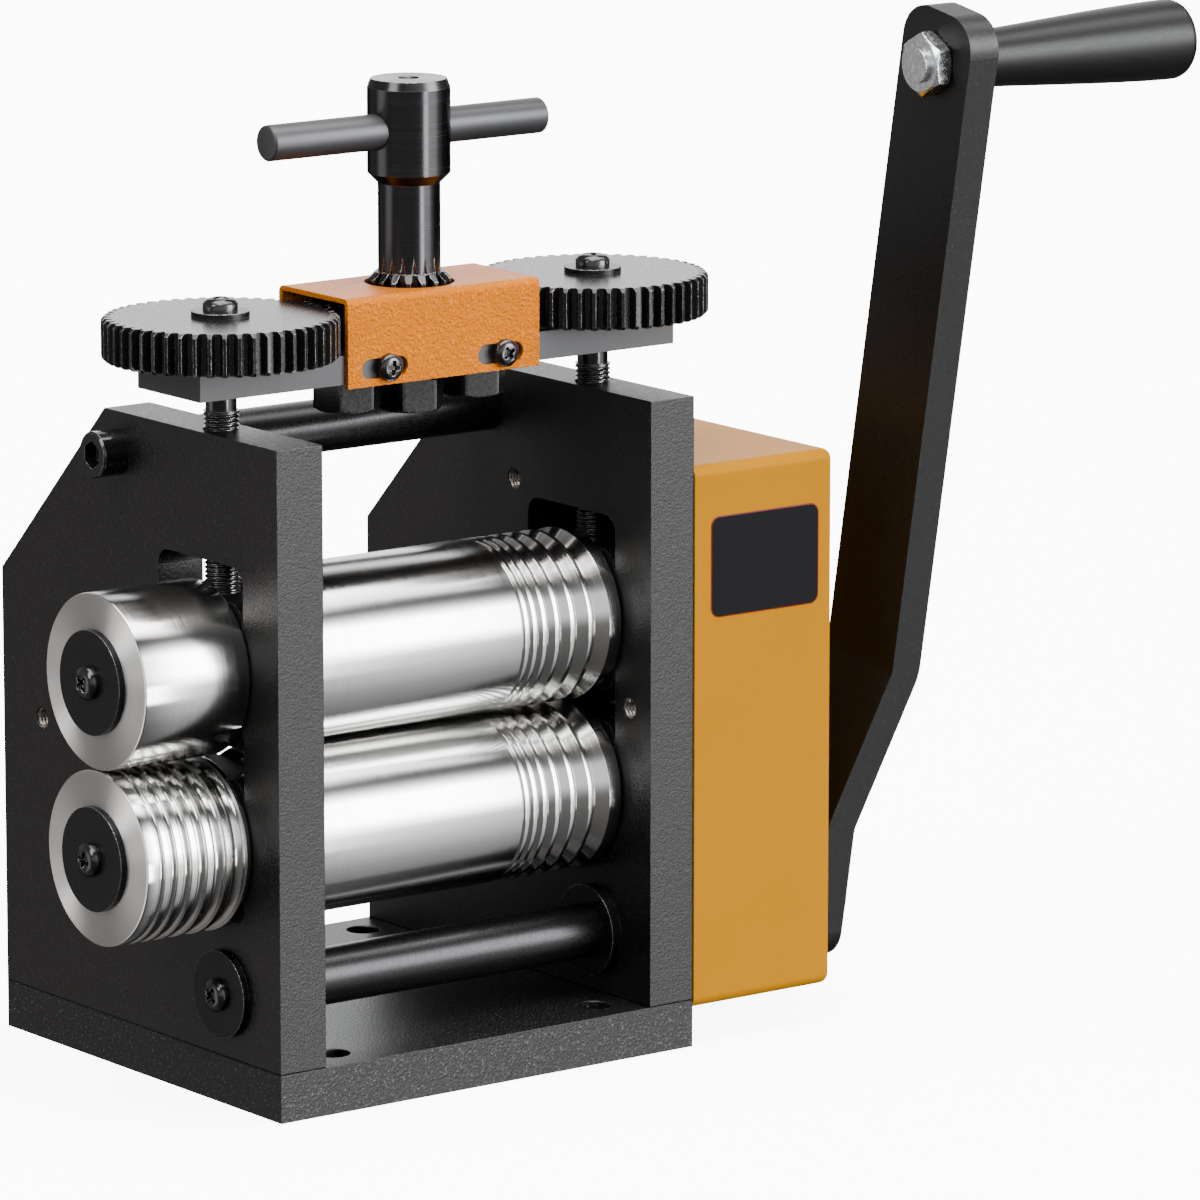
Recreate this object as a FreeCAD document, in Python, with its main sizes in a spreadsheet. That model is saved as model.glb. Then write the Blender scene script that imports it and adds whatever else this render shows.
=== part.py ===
import FreeCAD, Part
import math
import os
import re

import Sketcher
from FreeCAD import Vector

# Hand-cranked combination rolling mill for jewelry strip and wire.
# Two plain-and-grooved rolls turn in bearing blocks between two side plates. Half-round and plain
# side rolls ride on the shaft ends at the left, the gear train and the crank are at the right.
# Frame: +X to the gear side, +Y to the back, +Z up, origin at the centre of the base's underside.
# Rest pose: rolls closed, crank leaning a little to the front. Lengths are in millimetres.

SIZES = (
    ("base_thick", 13.5, "base plate thickness"),
    ("bench_span_x", 90, "bench holes, centre to centre along the rolls"),
    ("bench_inset", 12, "bench holes from the base's front and back edges"),
    ("bench_hole_dia", 10, "bench hole"),
    ("plate_thick", 15, "side plate thickness"),
    ("plate_depth", 136, "side plate and base, front to back"),
    ("plate_height", 172.8, "side plate above the base"),
    ("plate_chamfer", 53, "bevel of the top back corner"),
    ("foot_screw_dia", 6, "screws from the base into the side plates"),
    ("foot_head_dia", 10, "heads of those screws"),
    ("foot_head_height", 6, "heads of those screws"),
    ("foot_screw_depth", 18, "reach of those screws in the plates"),
    ("foot_screw_inset", 10, "those screws from the plates' front and back edges"),
    ("screw_recess", 0.5, "sunk heads below their surface"),
    ("edge_break", 0.5, "small bevel of turned edges"),
    ("hole_gap", 0.25, "radial clearance of screws in plain holes"),
    ("drill_gap", 1, "tapped holes deeper than the screws in them"),
    ("end_gap", 0.1, "axial clearance of running faces"),
    ("roll_flat", 76, "plain part of a roll"),
    ("groove_zone", 34.75, "grooved part of a roll"),
    ("end_play", 0.25, "roll barrel to side plate"),
    ("roll_dia", 48.8, "roll barrel"),
    ("nip", 0.2, "gap between closed rolls"),
    ("travel", 7, "greatest opening of the rolls"),
    ("roll_forward", 31, "roll axes ahead of the frame's middle"),
    ("roll_height", 58.7, "lower roll axis above the base"),
    ("groove_land", 1.3, "flat between grooves"),
    ("vee_one", 1, "square wire groove"),
    ("vee_two", 1.5, "square wire groove"),
    ("vee_three", 2, "square wire groove"),
    ("vee_four", 3, "square wire groove"),
    ("vee_five", 4, "square wire groove"),
    ("vee_six", 5, "square wire groove"),
    ("vee_seven", 6, "square wire groove"),
    ("half_one", 2, "half-round groove"),
    ("half_two", 2.5, "half-round groove"),
    ("half_three", 3, "half-round groove"),
    ("half_four", 3.5, "half-round groove"),
    ("half_five", 4.5, "half-round groove"),
    ("half_six", 5, "half-round groove"),
    ("half_start", 3.8, "flat before the first half-round groove"),
    ("half_land", 1.65, "flat between half-round grooves"),
    ("side_length", 34.1, "side roll length"),
    ("side_gap", 0.3, "side roll to side plate"),
    ("spigot_dia", 18, "shaft end that carries a side roll"),
    ("spigot_short", 0.5, "shaft ends inside the face of what they carry"),
    ("key_width", 5, "shaft keys"),
    ("key_seat", 2.5, "depth of a key in its shaft"),
    ("key_rise", 2, "height of a key above its shaft"),
    ("key_inset", 3, "key ends from the ends of their seat"),
    ("fit_gap", 0.05, "clearance of pieces put together"),
    ("run_gap", 0.04, "radial clearance of running fits"),
    ("journal_dia", 25, "roll journals"),
    ("bush_wall", 2, "bronze bush wall"),
    ("block_width", 40.6, "bearing block, front to back"),
    ("block_height", 40, "bearing block height"),
    ("block_corner", 5.5, "bearing block corner radius"),
    ("slide_gap", 0.2, "bearing block to its window, each side"),
    ("window_room", 3.1, "bearing window above the opened upper block"),
    ("window_corner", 5, "bearing window corner radius"),
    ("spring_wire", 1.4, "lift spring wire"),
    ("spring_dia", 7, "lift spring, outside"),
    ("spring_seat", 7.5, "depth of a spring pocket"),
    ("spring_offset", 14, "lift springs from the roll axis"),
    ("spring_turns", 5, "coils of a lift spring"),
    ("head_dia", 9.6, "pan head of the end screws"),
    ("head_height", 3.6, "pan head height"),
    ("end_screw_dia", 5, "end screws"),
    ("end_screw_reach", 12, "end screw below its washer"),
    ("washer_thick", 2, "end washers"),
    ("side_washer_dia", 29, "washer on a side roll"),
    ("tie_dia", 15, "tie bar"),
    ("tie_back", 9.5, "tie bar behind the frame's middle"),
    ("tie_drop", 11.6, "tie bar below the side plates' top"),
    ("cap_dia", 8, "tie bar screws"),
    ("cap_head_dia", 13, "tie bar screw heads"),
    ("cap_head_height", 8, "tie bar screw heads"),
    ("cap_reach", 20, "tie bar screw in the bar"),
    ("spare_hole_dia", 6, "tapped holes through the side plates, three of them for posts"),
    ("shaft_dia", 16, "crank shaft"),
    ("shaft_forward", 10.5, "crank shaft ahead of the roll axes"),
    ("shaft_drop", 40.8, "crank shaft below the lower roll axis"),
    ("shaft_bush_wall", 2, "crank shaft bush wall"),
    ("shaft_flange_dia", 26, "crank shaft bush flange"),
    ("shaft_flange_thick", 3, "crank shaft bush flange"),
    ("shaft_collar_dia", 20, "crank shaft beside the right side plate"),
    ("shaft_washer_dia", 24.5, "washer on the crank shaft's left end"),
    ("drive_teeth", 12, "teeth cut on the crank shaft"),
    ("wheel_teeth", 30, "teeth of the reduction gear"),
    ("drive_face", 16, "face width of the reduction pair"),
    ("roll_teeth", 12, "teeth of each roll gear"),
    ("roll_gear_face", 18, "face width of the roll gears"),
    ("roll_gear_reach", 4.6, "long addendum of the roll gears"),
    ("roll_gear_root", 0.5, "roll gear tip to root when closed"),
    ("roll_backlash", 0.3, "tooth thinning of the roll gears"),
    ("drive_backlash", 0.1, "tooth thinning of the reduction pair"),
    ("fine_backlash", 0.08, "tooth thinning of the adjustment gears"),
    ("pressure_angle", 20, "pressure angle of all gears, degrees"),
    ("seat_dia", 20, "shaft end that carries the gears"),
    ("gear_gap", 1.5, "gears to the side plate and to each other"),
    ("ring_thick", 1.2, "retaining ring"),
    ("ring_depth", 0.8, "retaining ring groove"),
    ("ring_rise", 2.2, "retaining ring above the shaft"),
    ("shaft_tail", 2, "shaft beyond its retaining ring"),
    ("cover_depth", 49.8, "gear cover, out from the side plate"),
    ("cover_wall", 1.5, "gear cover sheet"),
    ("cover_corner", 3, "gear cover outer corner radius"),
    ("cover_proud", 0.5, "cover ahead of the side plate"),
    ("cover_room", 8.9, "cover top above the opened upper roll gear"),
    ("cover_bottom", 2.5, "cover bottom below the base's top"),
    ("cover_inset", 2, "cover's back inside the side plate's back edge"),
    ("cover_bevel", 40, "cover bevel at the top back"),
    ("cover_gap", 0.1, "cover rim to side plate"),
    ("post_dia", 8, "cover posts"),
    ("post_seat", 8, "threaded end of a post in the side plate"),
    ("post_top_y", 4, "upper post ahead of the frame's middle"),
    ("post_top_drop", 11, "upper post below the cover's top"),
    ("post_front_inset", 9.8, "front post inside the side plate's front edge"),
    ("post_front_z", 84.4, "front post above the base"),
    ("post_back_inset", 19.7, "back post inside the side plate's back edge"),
    ("post_back_z", 79.6, "back post above the base"),
    ("crank_gap", 4.25, "cover to crank arm"),
    ("crank_lean", 10.2, "lean of the crank to the front at rest, degrees"),
    ("crank_radius", 248, "crank shaft to grip"),
    ("crank_width", 30, "crank arm width"),
    ("crank_tail", 17.5, "crank arm beyond its shaft"),
    ("crank_tip", 15.2, "crank arm beyond the grip's middle"),
    ("crank_corner", 10, "rounding of the crank arm's ends"),
    ("crank_thick", 10.2, "crank arm thickness"),
    ("crank_offset", 16.8, "sideways set of the crank arm"),
    ("bend_low", 26, "start of the arm's set above the shaft"),
    ("bend_high", 71, "end of the arm's set above the shaft"),
    ("square_side", 11, "square end of the crank shaft"),
    ("bend_radius", 6, "inside radius of the arm's bends"),
    ("crank_screw_dia", 6, "screw that holds the crank arm"),
    ("crank_head_dia", 22, "broad head of that screw"),
    ("crank_head_height", 4, "broad head of that screw"),
    ("grip_length", 77.7, "grip length"),
    ("grip_dia_near", 15.2, "grip at the arm"),
    ("grip_dia_far", 23, "grip at its free end"),
    ("grip_gap", 0.5, "grip to crank arm"),
    ("grip_round", 2, "grip end rounding"),
    ("grip_bolt_dia", 10, "grip bolt"),
    ("grip_head_dia", 15, "grip bolt head"),
    ("grip_head_height", 5, "grip bolt head height"),
    ("grip_bolt_proud", 1.5, "grip bolt beyond its nut"),
    ("grip_recess", 3, "bolt head inside the grip's end"),
    ("nut_flats", 16, "grip nut across flats"),
    ("nut_height", 5.5, "grip nut height"),
    ("bridge_rise", 10.9, "bridge bar above the side plates, rolls closed"),
    ("bridge_thick", 8, "bridge bar thickness"),
    ("bridge_width", 30, "bridge bar, front to back"),
    ("bridge_length", 160.4, "bridge bar length"),
    ("thread_dia", 10, "pressure screw"),
    ("collar_dia", 12.6, "pressure screw collar under the bridge bar"),
    ("collar_thick", 0.8, "pressure screw collar"),
    ("relief_dia", 8.6, "plain part of the pressure screw under its collar"),
    ("relief_length", 4.9, "plain part of the pressure screw under its collar"),
    ("neck_dia", 9, "screw neck in the bridge bar"),
    ("gear_seat_dia", 8, "screw end that carries its gear"),
    ("gear_hub_dia", 18, "hub ring under the gears"),
    ("tip_gap", 0.1, "screw tip to bearing block"),
    ("pinion_teeth", 17, "teeth of the spindle and idler pinions"),
    ("gear_teeth", 50, "teeth of the screw gears"),
    ("gear_face", 11.7, "screw gear and idler thickness"),
    ("gear_lift", 0.5, "gears above the bridge bar"),
    ("rim_chamfer", 1, "bevel of the screw gears' rims"),
    ("gear_washer_dia", 16, "washer on a screw gear"),
    ("gear_washer_thick", 1.5, "washer on a screw gear"),
    ("spindle_trim", 0.4, "how much deeper than the idlers' the spindle's teeth lie"),
    ("spindle_bevel", 2, "bevel of the spindle's teeth at their upper end"),
    ("runout_dia", 1.3, "cutter run-out above each tooth gap of the spindle"),
    ("runout_length", 4.8, "cutter run-out above each tooth gap of the spindle"),
    ("spindle_shaft_dia", 17.3, "spindle above its teeth"),
    ("spindle_neck_dia", 12, "spindle in the bridge bar"),
    ("idler_axle_dia", 8, "idler bolt shank"),
    ("spindle_teeth_rise", 18, "spindle teeth above the gears' underside"),
    ("spindle_shaft_rise", 42.6, "spindle head above the gears' underside"),
    ("spindle_cone", 2.9, "cone under the spindle head"),
    ("spindle_head_dia", 23, "spindle head"),
    ("spindle_head_height", 26, "spindle head height above its cone"),
    ("centre_dia", 6, "centre drilling of the spindle head"),
    ("centre_depth", 4, "centre drilling of the spindle head"),
    ("head_bevel", 0.9, "bevel of the spindle head, across"),
    ("head_bevel_height", 2.4, "bevel of the spindle head, down"),
    ("tommy_dia", 10, "cross bar of the handle"),
    ("tommy_length", 92.3, "cross bar of the handle"),
    ("tommy_shift", 1.55, "cross bar to the left of its middle"),
    ("tommy_rise", 11.9, "cross bar above the head's cone"),
    ("hex_flats", 17, "hexagon heads under the bridge bar"),
    ("hex_height", 10, "hexagon head height"),
    ("hex_turn", 13, "turn of the hexagon heads, degrees"),
    ("hex_bevel", 0.9, "height of the bevel that rounds a hexagon's corners"),
    ("spindle_washer_dia", 20, "washer under the spindle"),
    ("guard_length", 64.8, "guard over the pinions"),
    ("guard_sheet", 1.4, "guard sheet"),
    ("guard_bend", 2, "guard outer bend radius"),
    ("guard_skirt", 1.1, "guard below the bridge bar"),
    ("guard_room", 2, "guard above the gears"),
    ("guard_hole_dia", 25, "spindle hole in the guard"),
    ("slot_length", 15.4, "guard slot"),
    ("slot_width", 5.6, "guard slot"),
    ("slot_centre", 19.6, "guard slots from the middle"),
    ("slot_shift", 0.5, "guard slots to the left of their middle"),
    ("slot_rise", 3.7, "guard slots and screws above the bridge bar's underside"),
    ("guard_screw_shift", 0.8, "guard screws to the right of the middle"),
    ("guard_screw_dia", 4, "guard screws"),
    ("guard_head_dia", 7.6, "guard screw heads"),
    ("guard_head_height", 2.6, "guard screw heads"),
    ("guard_screw_reach", 8, "guard screw in the bridge bar"),
)

# Lengths and places that follow from the sizes above, as expressions over them.
DERIVED = {
    "barrel": "roll_flat + groove_zone",
    "plate_in": "barrel / 2 + end_play",
    "plate_out": "plate_in + plate_thick",
    "plate_mid": "plate_in + plate_thick / 2",
    "frame_top": "base_thick + plate_height",
    "bench_span_y": "plate_depth - 2 * bench_inset",
    "foot_screw_span": "plate_depth - 2 * foot_screw_inset",
    "roll_y": "0 - roll_forward",
    "low_z": "base_thick + roll_height",
    "centre_gap": "roll_dia + nip",
    "high_z": "low_z + centre_gap",
    "window_low": "low_block",
    "window_high": "high_block + block_height + travel + window_room",
    "window_width": "block_width + 2 * slide_gap",
    "bush_out": "journal_dia / 2 + run_gap + bush_wall",
    "block_bore": "bush_out + fit_gap",
    "low_block": "low_z - block_height / 2",
    "high_block": "high_z - block_height / 2",
    "side_start": "plate_out + side_gap",
    "side_end": "side_start + side_length",
    "tie_z": "frame_top - tie_drop",
    "shaft_y": "roll_y - shaft_forward",
    "shaft_z": "low_z - shaft_drop",
    "shaft_left": "0 - plate_out - side_gap",
    "shaft_bush_out": "shaft_dia / 2 + run_gap + shaft_bush_wall",
    "shaft_distance": "sqrt(shaft_forward ^ 2 + shaft_drop ^ 2)",
    "drive_module": "2 * (shaft_distance - fit_gap) / (drive_teeth + wheel_teeth)",
    "roll_module": "centre_gap / roll_teeth",
    "roll_gear_tip": "centre_gap / 2 + roll_gear_reach",
    "roll_gear_start": "plate_out + gear_gap",
    "roll_gear_end": "roll_gear_start + roll_gear_face",
    "wheel_start": "roll_gear_end + gear_gap",
    "wheel_end": "wheel_start + drive_face",
    "cover_out": "plate_out + cover_depth",
    "cover_high": "high_z + roll_gear_tip + travel + cover_room",
    "cover_low": "base_thick - cover_bottom",
    "cover_front": "plate_depth / 2 + cover_proud",
    "cover_back": "plate_depth / 2 - cover_inset",
    "arm_in": "cover_out + crank_gap",
    "arm_out": "arm_in + crank_thick",
    "arm_far": "arm_in + crank_offset",
    "grip_start": "arm_far + crank_thick + grip_gap",
    "grip_end": "grip_start + grip_length",
    "grip_y": "shaft_y - crank_radius * sin(crank_lean * 1deg)",
    "grip_z": "shaft_z + crank_radius * cos(crank_lean * 1deg)",
    "bridge_low": "frame_top + bridge_rise",
    "bridge_high": "bridge_low + bridge_thick",
    "bridge_front": "roll_y - bridge_width / 2",
    "fine_module": "plate_mid / (1.5 * pinion_teeth + 0.5 * gear_teeth)",
    "idler_x": "fine_module * pinion_teeth",
    "gear_low": "bridge_high + gear_lift",
    "gear_high": "gear_low + gear_face",
    "teeth_high": "gear_low + spindle_teeth_rise",
    "cone_low": "gear_low + spindle_shaft_rise",
    "head_low": "cone_low + spindle_cone",
    "guard_low": "bridge_low - guard_skirt",
    "guard_high": "gear_high + guard_room + guard_sheet",
    "nut_low": "bridge_low - end_gap - washer_thick - hex_height",
    "spring_low": "low_block + block_height - spring_seat",
    "spring_high": "high_block + spring_seat",
}

doc = FreeCAD.newDocument("RollingMill")
sheet = doc.addObject("Spreadsheet::Sheet", "Sizes")
for row, (alias, value, meaning) in enumerate(SIZES, start=1):
    sheet.set("A%d" % row, meaning)
    sheet.set("B%d" % row, str(value))
    sheet.setAlias("B%d" % row, alias)
doc.recompute()

CELLS = {alias for alias, value, meaning in SIZES}
nodes = []


def ex(text):
    """Turn plain words into an expression over the sheet's cells."""
    def word(found):
        name = found.group(0)
        if name in DERIVED:
            return "(" + ex(DERIVED[name]) + ")"
        if name in CELLS:
            return "Sizes." + name
        return name
    return re.sub(r"[a-z_]+", word, text)


def num(text):
    """Value of such an expression, as a plain number."""
    value = sheet.evalExpression(ex(text))
    return float(getattr(value, "Value", value))


def bind(thing, **sizes):
    """Bind an object's properties to expressions."""
    for name, text in sizes.items():
        thing.setExpression(name, ex(text))


def place(thing, x="0", y="0", z="0"):
    """Bind an object's position to expressions."""
    for axis, text in zip("xyz", (x, y, z)):
        thing.setExpression(".Placement.Base." + axis, ex(text))
    return thing


def node(thing, name):
    """Register a finished sub-part under its own name."""
    thing.Label = name
    nodes.append(thing)
    return thing


# Shared ways of shaping.

TURNS = {
    "x": FreeCAD.Rotation(Vector(0, 1, 0), 90),
    "y": FreeCAD.Rotation(Vector(1, 0, 0), -90),
    "z": FreeCAD.Rotation(),
}


def primitive(kind, name, **sizes):
    """Add a primitive with bound sizes."""
    thing = doc.addObject(kind, name)
    bind(thing, **sizes)
    return thing


def rod(name, radius, length, x="0", y="0", z="0", along="x"):
    """Round bar from a point along one axis."""
    thing = primitive("Part::Cylinder", name, Radius=radius, Height=length)
    thing.Placement = FreeCAD.Placement(Vector(), TURNS[along])
    return place(thing, x, y, z)


def brick(name, length, width, height, x="0", y="0", z="0"):
    """Box from its lowest corner."""
    thing = primitive("Part::Box", name, Length=length, Width=width, Height=height)
    return place(thing, x, y, z)


def union(name, *things):
    """Fuse pieces into one solid."""
    thing = doc.addObject("Part::MultiFuse", name)
    thing.Shapes = list(things)
    return thing


def cut(name, base, *tools):
    """Take tools away from a piece."""
    thing = doc.addObject("Part::Cut", name)
    thing.Base = base
    thing.Tool = tools[0] if len(tools) == 1 else union(name + "Tools", *tools)
    return thing


def shared(name, one, other):
    """Keep what two pieces have in common."""
    thing = doc.addObject("Part::Common", name)
    thing.Base = one
    thing.Tool = other
    return thing


def group(name, *things):
    """Hold like pieces together as one sub-part of several solids."""
    thing = doc.addObject("Part::Compound", name)
    thing.Links = list(things)
    return thing


def plane_of(body, role):
    """Origin plane of a body, found by its role."""
    return next(feature for feature in body.Origin.OriginFeatures if feature.Role == role)


def draw(body, name, role, points):
    """Sketch a closed outline whose corners are bound to expressions."""
    sketch = body.newObject("Sketcher::SketchObject", name)
    sketch.AttachmentSupport = [(plane_of(body, role), "")]
    sketch.MapMode = "FlatFace"
    corners = [Vector(num(across), num(up), 0) for across, up in points]
    count = len(points)
    for index in range(count):
        sketch.addGeometry(Part.LineSegment(corners[index], corners[(index + 1) % count]))
    for index in range(count):
        sketch.addConstraint(
            Sketcher.Constraint("Coincident", index, 2, (index + 1) % count, 1))
    for index, texts in enumerate(points):
        for kind, axis, text in (("DistanceX", -2, texts[0]), ("DistanceY", -1, texts[1])):
            if text == "0":
                sketch.addConstraint(Sketcher.Constraint("PointOnObject", index, 1, axis))
                continue
            fixed = sketch.addConstraint(Sketcher.Constraint(kind, index, 1, num(text)))
            sketch.setExpression("Constraints[%d]" % fixed, ex(text))
    return sketch


LATHE = {
    "x": (FreeCAD.Rotation(), "yz"),
    "y": (FreeCAD.Rotation(Vector(0, 0, 1), 90), "xz"),
    "z": (FreeCAD.Rotation(Vector(0, 1, 0), -90), "xy"),
}


def turned(name, profile, along="x", first="0", second="0"):
    """Turned piece from (distance, radius) corners, its axis at two offsets in axis order."""
    body = doc.addObject("PartDesign::Body", name)
    sketch = draw(body, name + "Profile", "XY_Plane", profile)
    spin = body.newObject("PartDesign::Revolution", name + "Turning")
    spin.Profile = sketch
    spin.ReferenceAxis = (sketch, ["H_Axis"])
    spin.Angle = 360
    rotation, others = LATHE[along]
    body.Placement = FreeCAD.Placement(Vector(), rotation)
    return place(body, **dict(zip(others, (first, second))))


def stepped(*steps):
    """Profile of a solid turned piece, from (start, end, radius) steps in order."""
    corners = [(steps[0][0], "0")]
    for start, end, radius in steps:
        corners += [(start, radius), (end, radius)]
    return corners + [(steps[-1][1], "0")]


def ring(name, inner, outer, start, end, along="x", first="0", second="0"):
    """Plain turned ring."""
    corners = [(start, inner), (start, outer), (end, outer), (end, inner)]
    return turned(name, corners, along, first, second)


def prism(name, role, points, length, backward=False):
    """Pad of a bound outline on an origin plane of its own body."""
    body = doc.addObject("PartDesign::Body", name)
    sketch = draw(body, name + "Outline", role, points)
    pad = body.newObject("PartDesign::Pad", name + "Pad")
    pad.Profile = sketch
    pad.Reversed = backward
    bind(pad, Length=length)
    doc.recompute()
    return body


def rounded(body, name, radius, chosen):
    """Round the edges of a body's tip that pass a test."""
    tip = body.Tip
    names = ["Edge%d" % (index + 1) for index, edge in enumerate(tip.Shape.Edges) if chosen(edge)]
    if not names:
        raise RuntimeError("no edge to round on " + body.Name)
    fillet = body.newObject("PartDesign::Fillet", name)
    fillet.Base = (tip, names)
    bind(fillet, Radius=radius)
    doc.recompute()
    return fillet


def along_x(edge):
    """Straight edge along the rolls."""
    return edge.Curve.TypeId == "Part::GeomLine" and abs(edge.tangentAt(edge.FirstParameter).x) > 0.999


def hexagon(name, flats, height, x, y, z, along="z"):
    """Hexagonal prism with its corners turned off at both ends, upright or along the rolls."""
    thing = primitive("Part::Prism", name + "Bar", Circumradius=flats + " / sqrt(3)", Height=height)
    thing.Polygon = 6
    if along == "x":
        thing.Placement = FreeCAD.Placement(Vector(), TURNS["x"])
    else:
        thing.Placement = FreeCAD.Placement(Vector(), FreeCAD.Rotation(Vector(0, 0, 1), 30))
        thing.setExpression(".Placement.Rotation.Angle", ex("(30 + hex_turn) * 1deg"))
    place(thing, x, y, z)
    start, others = (z, (x, y)) if along == "z" else (x, (y, z))
    end = "(" + start + " + " + height + ")"
    wide = flats + " / sqrt(3) + fit_gap"
    bevels = turned(
        name + "Bevels",
        [
            (start, "0"),
            (start, wide + " - 1.8 * hex_bevel"),
            (start + " + hex_bevel", wide),
            (end + " - hex_bevel", wide),
            (end, wide + " - 1.8 * hex_bevel"),
            (end, "0"),
        ],
        along, *others)
    return shared(name, thing, bevels)


def screw(name, head, height, shank, reach, face, side, bevel, along, first, second):
    """Headed screw on a face: the head stands to one side, the shank reaches to the other."""
    out = " " + side + " * "
    corners = [
        (face + " - " + out + "(" + reach + ")", "0"),
        (face + " - " + out + "(" + reach + ")", shank + " / 2"),
        (face, shank + " / 2"),
        (face, head + " / 2"),
    ]
    for rise, inset in bevel:
        corners.append((face + " + " + out + "(" + rise + ")", head + " / 2 - (" + inset + ")"))
    corners.append((face + " + " + out + "(" + height + ")", "0"))
    return turned(name, corners, along, first, second)


def pan_screw(name, head, height, shank, reach, face, side, along, first, second):
    """Screw with a domed pan head."""
    bevel = (
        ("0.55 * " + height, "0"),
        ("0.85 * " + height, "0.3 * " + height),
        (height, "0.75 * " + height),
    )
    return screw(name, head, height, shank, reach, face, side, bevel, along, first, second)


def cap_screw(name, head, height, shank, reach, face, side, along, first, second):
    """Screw with a cylinder head whose hexagon socket is as wide over its corners as the shank."""
    bevel = ((height + " - edge_break", "0"), (height, "edge_break"))
    solid = screw(name + "Blank", head, height, shank, reach, face, side, bevel, along, first, second)
    socket = primitive(
        "Part::Prism", name + "Socket", Circumradius=shank + " / 2", Height=height + " / 2")
    socket.Polygon = 6
    socket.Placement = FreeCAD.Placement(Vector(), TURNS[along])
    start = face + " + " + side + " * (" + height + ") * 3 / 4 - (" + height + ") / 4"
    others = LATHE[along][1]
    place(socket, **{along: start, others[0]: first, others[1]: second})
    return cut(name, solid, socket)


def feature(name, shape):
    """Hold a computed shape as an object of the document."""
    thing = doc.addObject("Part::Feature", name)
    thing.Shape = shape
    return thing


def flank(teeth, module, tip, root, backlash, steps):
    """Radii and half angles of one tooth side, an involute above its base circle."""
    pitch = module * teeth / 2
    base = pitch * math.cos(math.radians(num("pressure_angle")))

    def involute(radius):
        angle = math.acos(min(1, base / radius))
        return math.tan(angle) - angle

    half = math.pi / 2 / teeth - backlash / 2 / pitch + involute(pitch)
    low = max(root, base)
    radii = [root] if root < low - 0.001 else []
    radii += [low + (tip - low) * step / steps for step in range(steps + 1)]
    return [(radius, half - (involute(radius) if radius > base else 0)) for radius in radii]


def toothed(teeth, module, tip, root, backlash, face, turn, steps):
    """Toothed disc from z 0 up, with a tooth at the given angle."""
    side = flank(teeth, module, tip, root, backlash, steps)
    points = []
    for tooth in range(teeth):
        middle = math.radians(turn) + 2 * math.pi * tooth / teeth
        for radius, half in side:
            points.append(Vector(radius * math.cos(middle - half), radius * math.sin(middle - half), 0))
        for radius, half in reversed(side):
            points.append(Vector(radius * math.cos(middle + half), radius * math.sin(middle + half), 0))
    points.append(points[0])
    return Part.Face(Part.makePolygon(points)).extrude(Vector(0, 0, face))


# Frame: base plate, two side plates, tie bar and their screws.

MINUS = "(0 - 1)"
CORNERS = ((MINUS, MINUS), (MINUS, "1"), ("1", MINUS), ("1", "1"))


def foot_holes(name, radius, height, z):
    """Four upright holes or bars under the side plates."""
    return [
        rod(name + str(index), radius, height,
            side + " * plate_mid", end + " * foot_screw_span / 2", z, "z")
        for index, (side, end) in enumerate(CORNERS)
    ]


base_outline = [
    ("0 - plate_out", "0 - plate_depth / 2"),
    ("plate_out", "0 - plate_depth / 2"),
    ("plate_out", "plate_depth / 2"),
    ("0 - plate_out", "plate_depth / 2"),
]
base_blank = prism("BaseBlank", "XY_Plane", base_outline, "base_thick")
bench_holes = [
    rod("BenchHole%d" % index, "bench_hole_dia / 2", "2 * base_thick",
        side + " * bench_span_x / 2", end + " * bench_span_y / 2", "0 - base_thick / 2", "z")
    for index, (side, end) in enumerate(CORNERS)
]
foot_bores = foot_holes(
    "FootBore", "foot_screw_dia / 2 + hole_gap", "2 * base_thick", "0 - base_thick / 2")
foot_sinks = foot_holes(
    "FootSink", "foot_head_dia / 2 + hole_gap", "base_thick + screw_recess + foot_head_height",
    "0 - base_thick")
node(cut("BasePlate", base_blank, *bench_holes, *foot_bores, *foot_sinks), "base_plate")

foot_screws = [
    cap_screw("FootScrew%d" % index, "foot_head_dia", "foot_head_height", "foot_screw_dia",
              "base_thick - screw_recess - foot_head_height + foot_screw_depth",
              "screw_recess + foot_head_height", MINUS, "z",
              side + " * plate_mid", end + " * foot_screw_span / 2")
    for index, (side, end) in enumerate(CORNERS)
]
node(group("FootScrews", *foot_screws), "foot_screws")

plate_outline = [
    ("0 - plate_depth / 2", "base_thick"),
    ("plate_depth / 2", "base_thick"),
    ("plate_depth / 2", "frame_top - plate_chamfer"),
    ("plate_depth / 2 - plate_chamfer", "frame_top"),
    ("0 - plate_depth / 2", "frame_top"),
]
window_outline = [
    ("roll_y - window_width / 2", "window_low"),
    ("roll_y + window_width / 2", "window_low"),
    ("roll_y + window_width / 2", "window_high"),
    ("roll_y - window_width / 2", "window_high"),
]
POSTS = (
    ("0 - post_top_y", "cover_high - post_top_drop"),
    ("post_front_inset - plate_depth / 2", "base_thick + post_front_z"),
    ("plate_depth / 2 - post_back_inset", "base_thick + post_back_z"),
)


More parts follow.
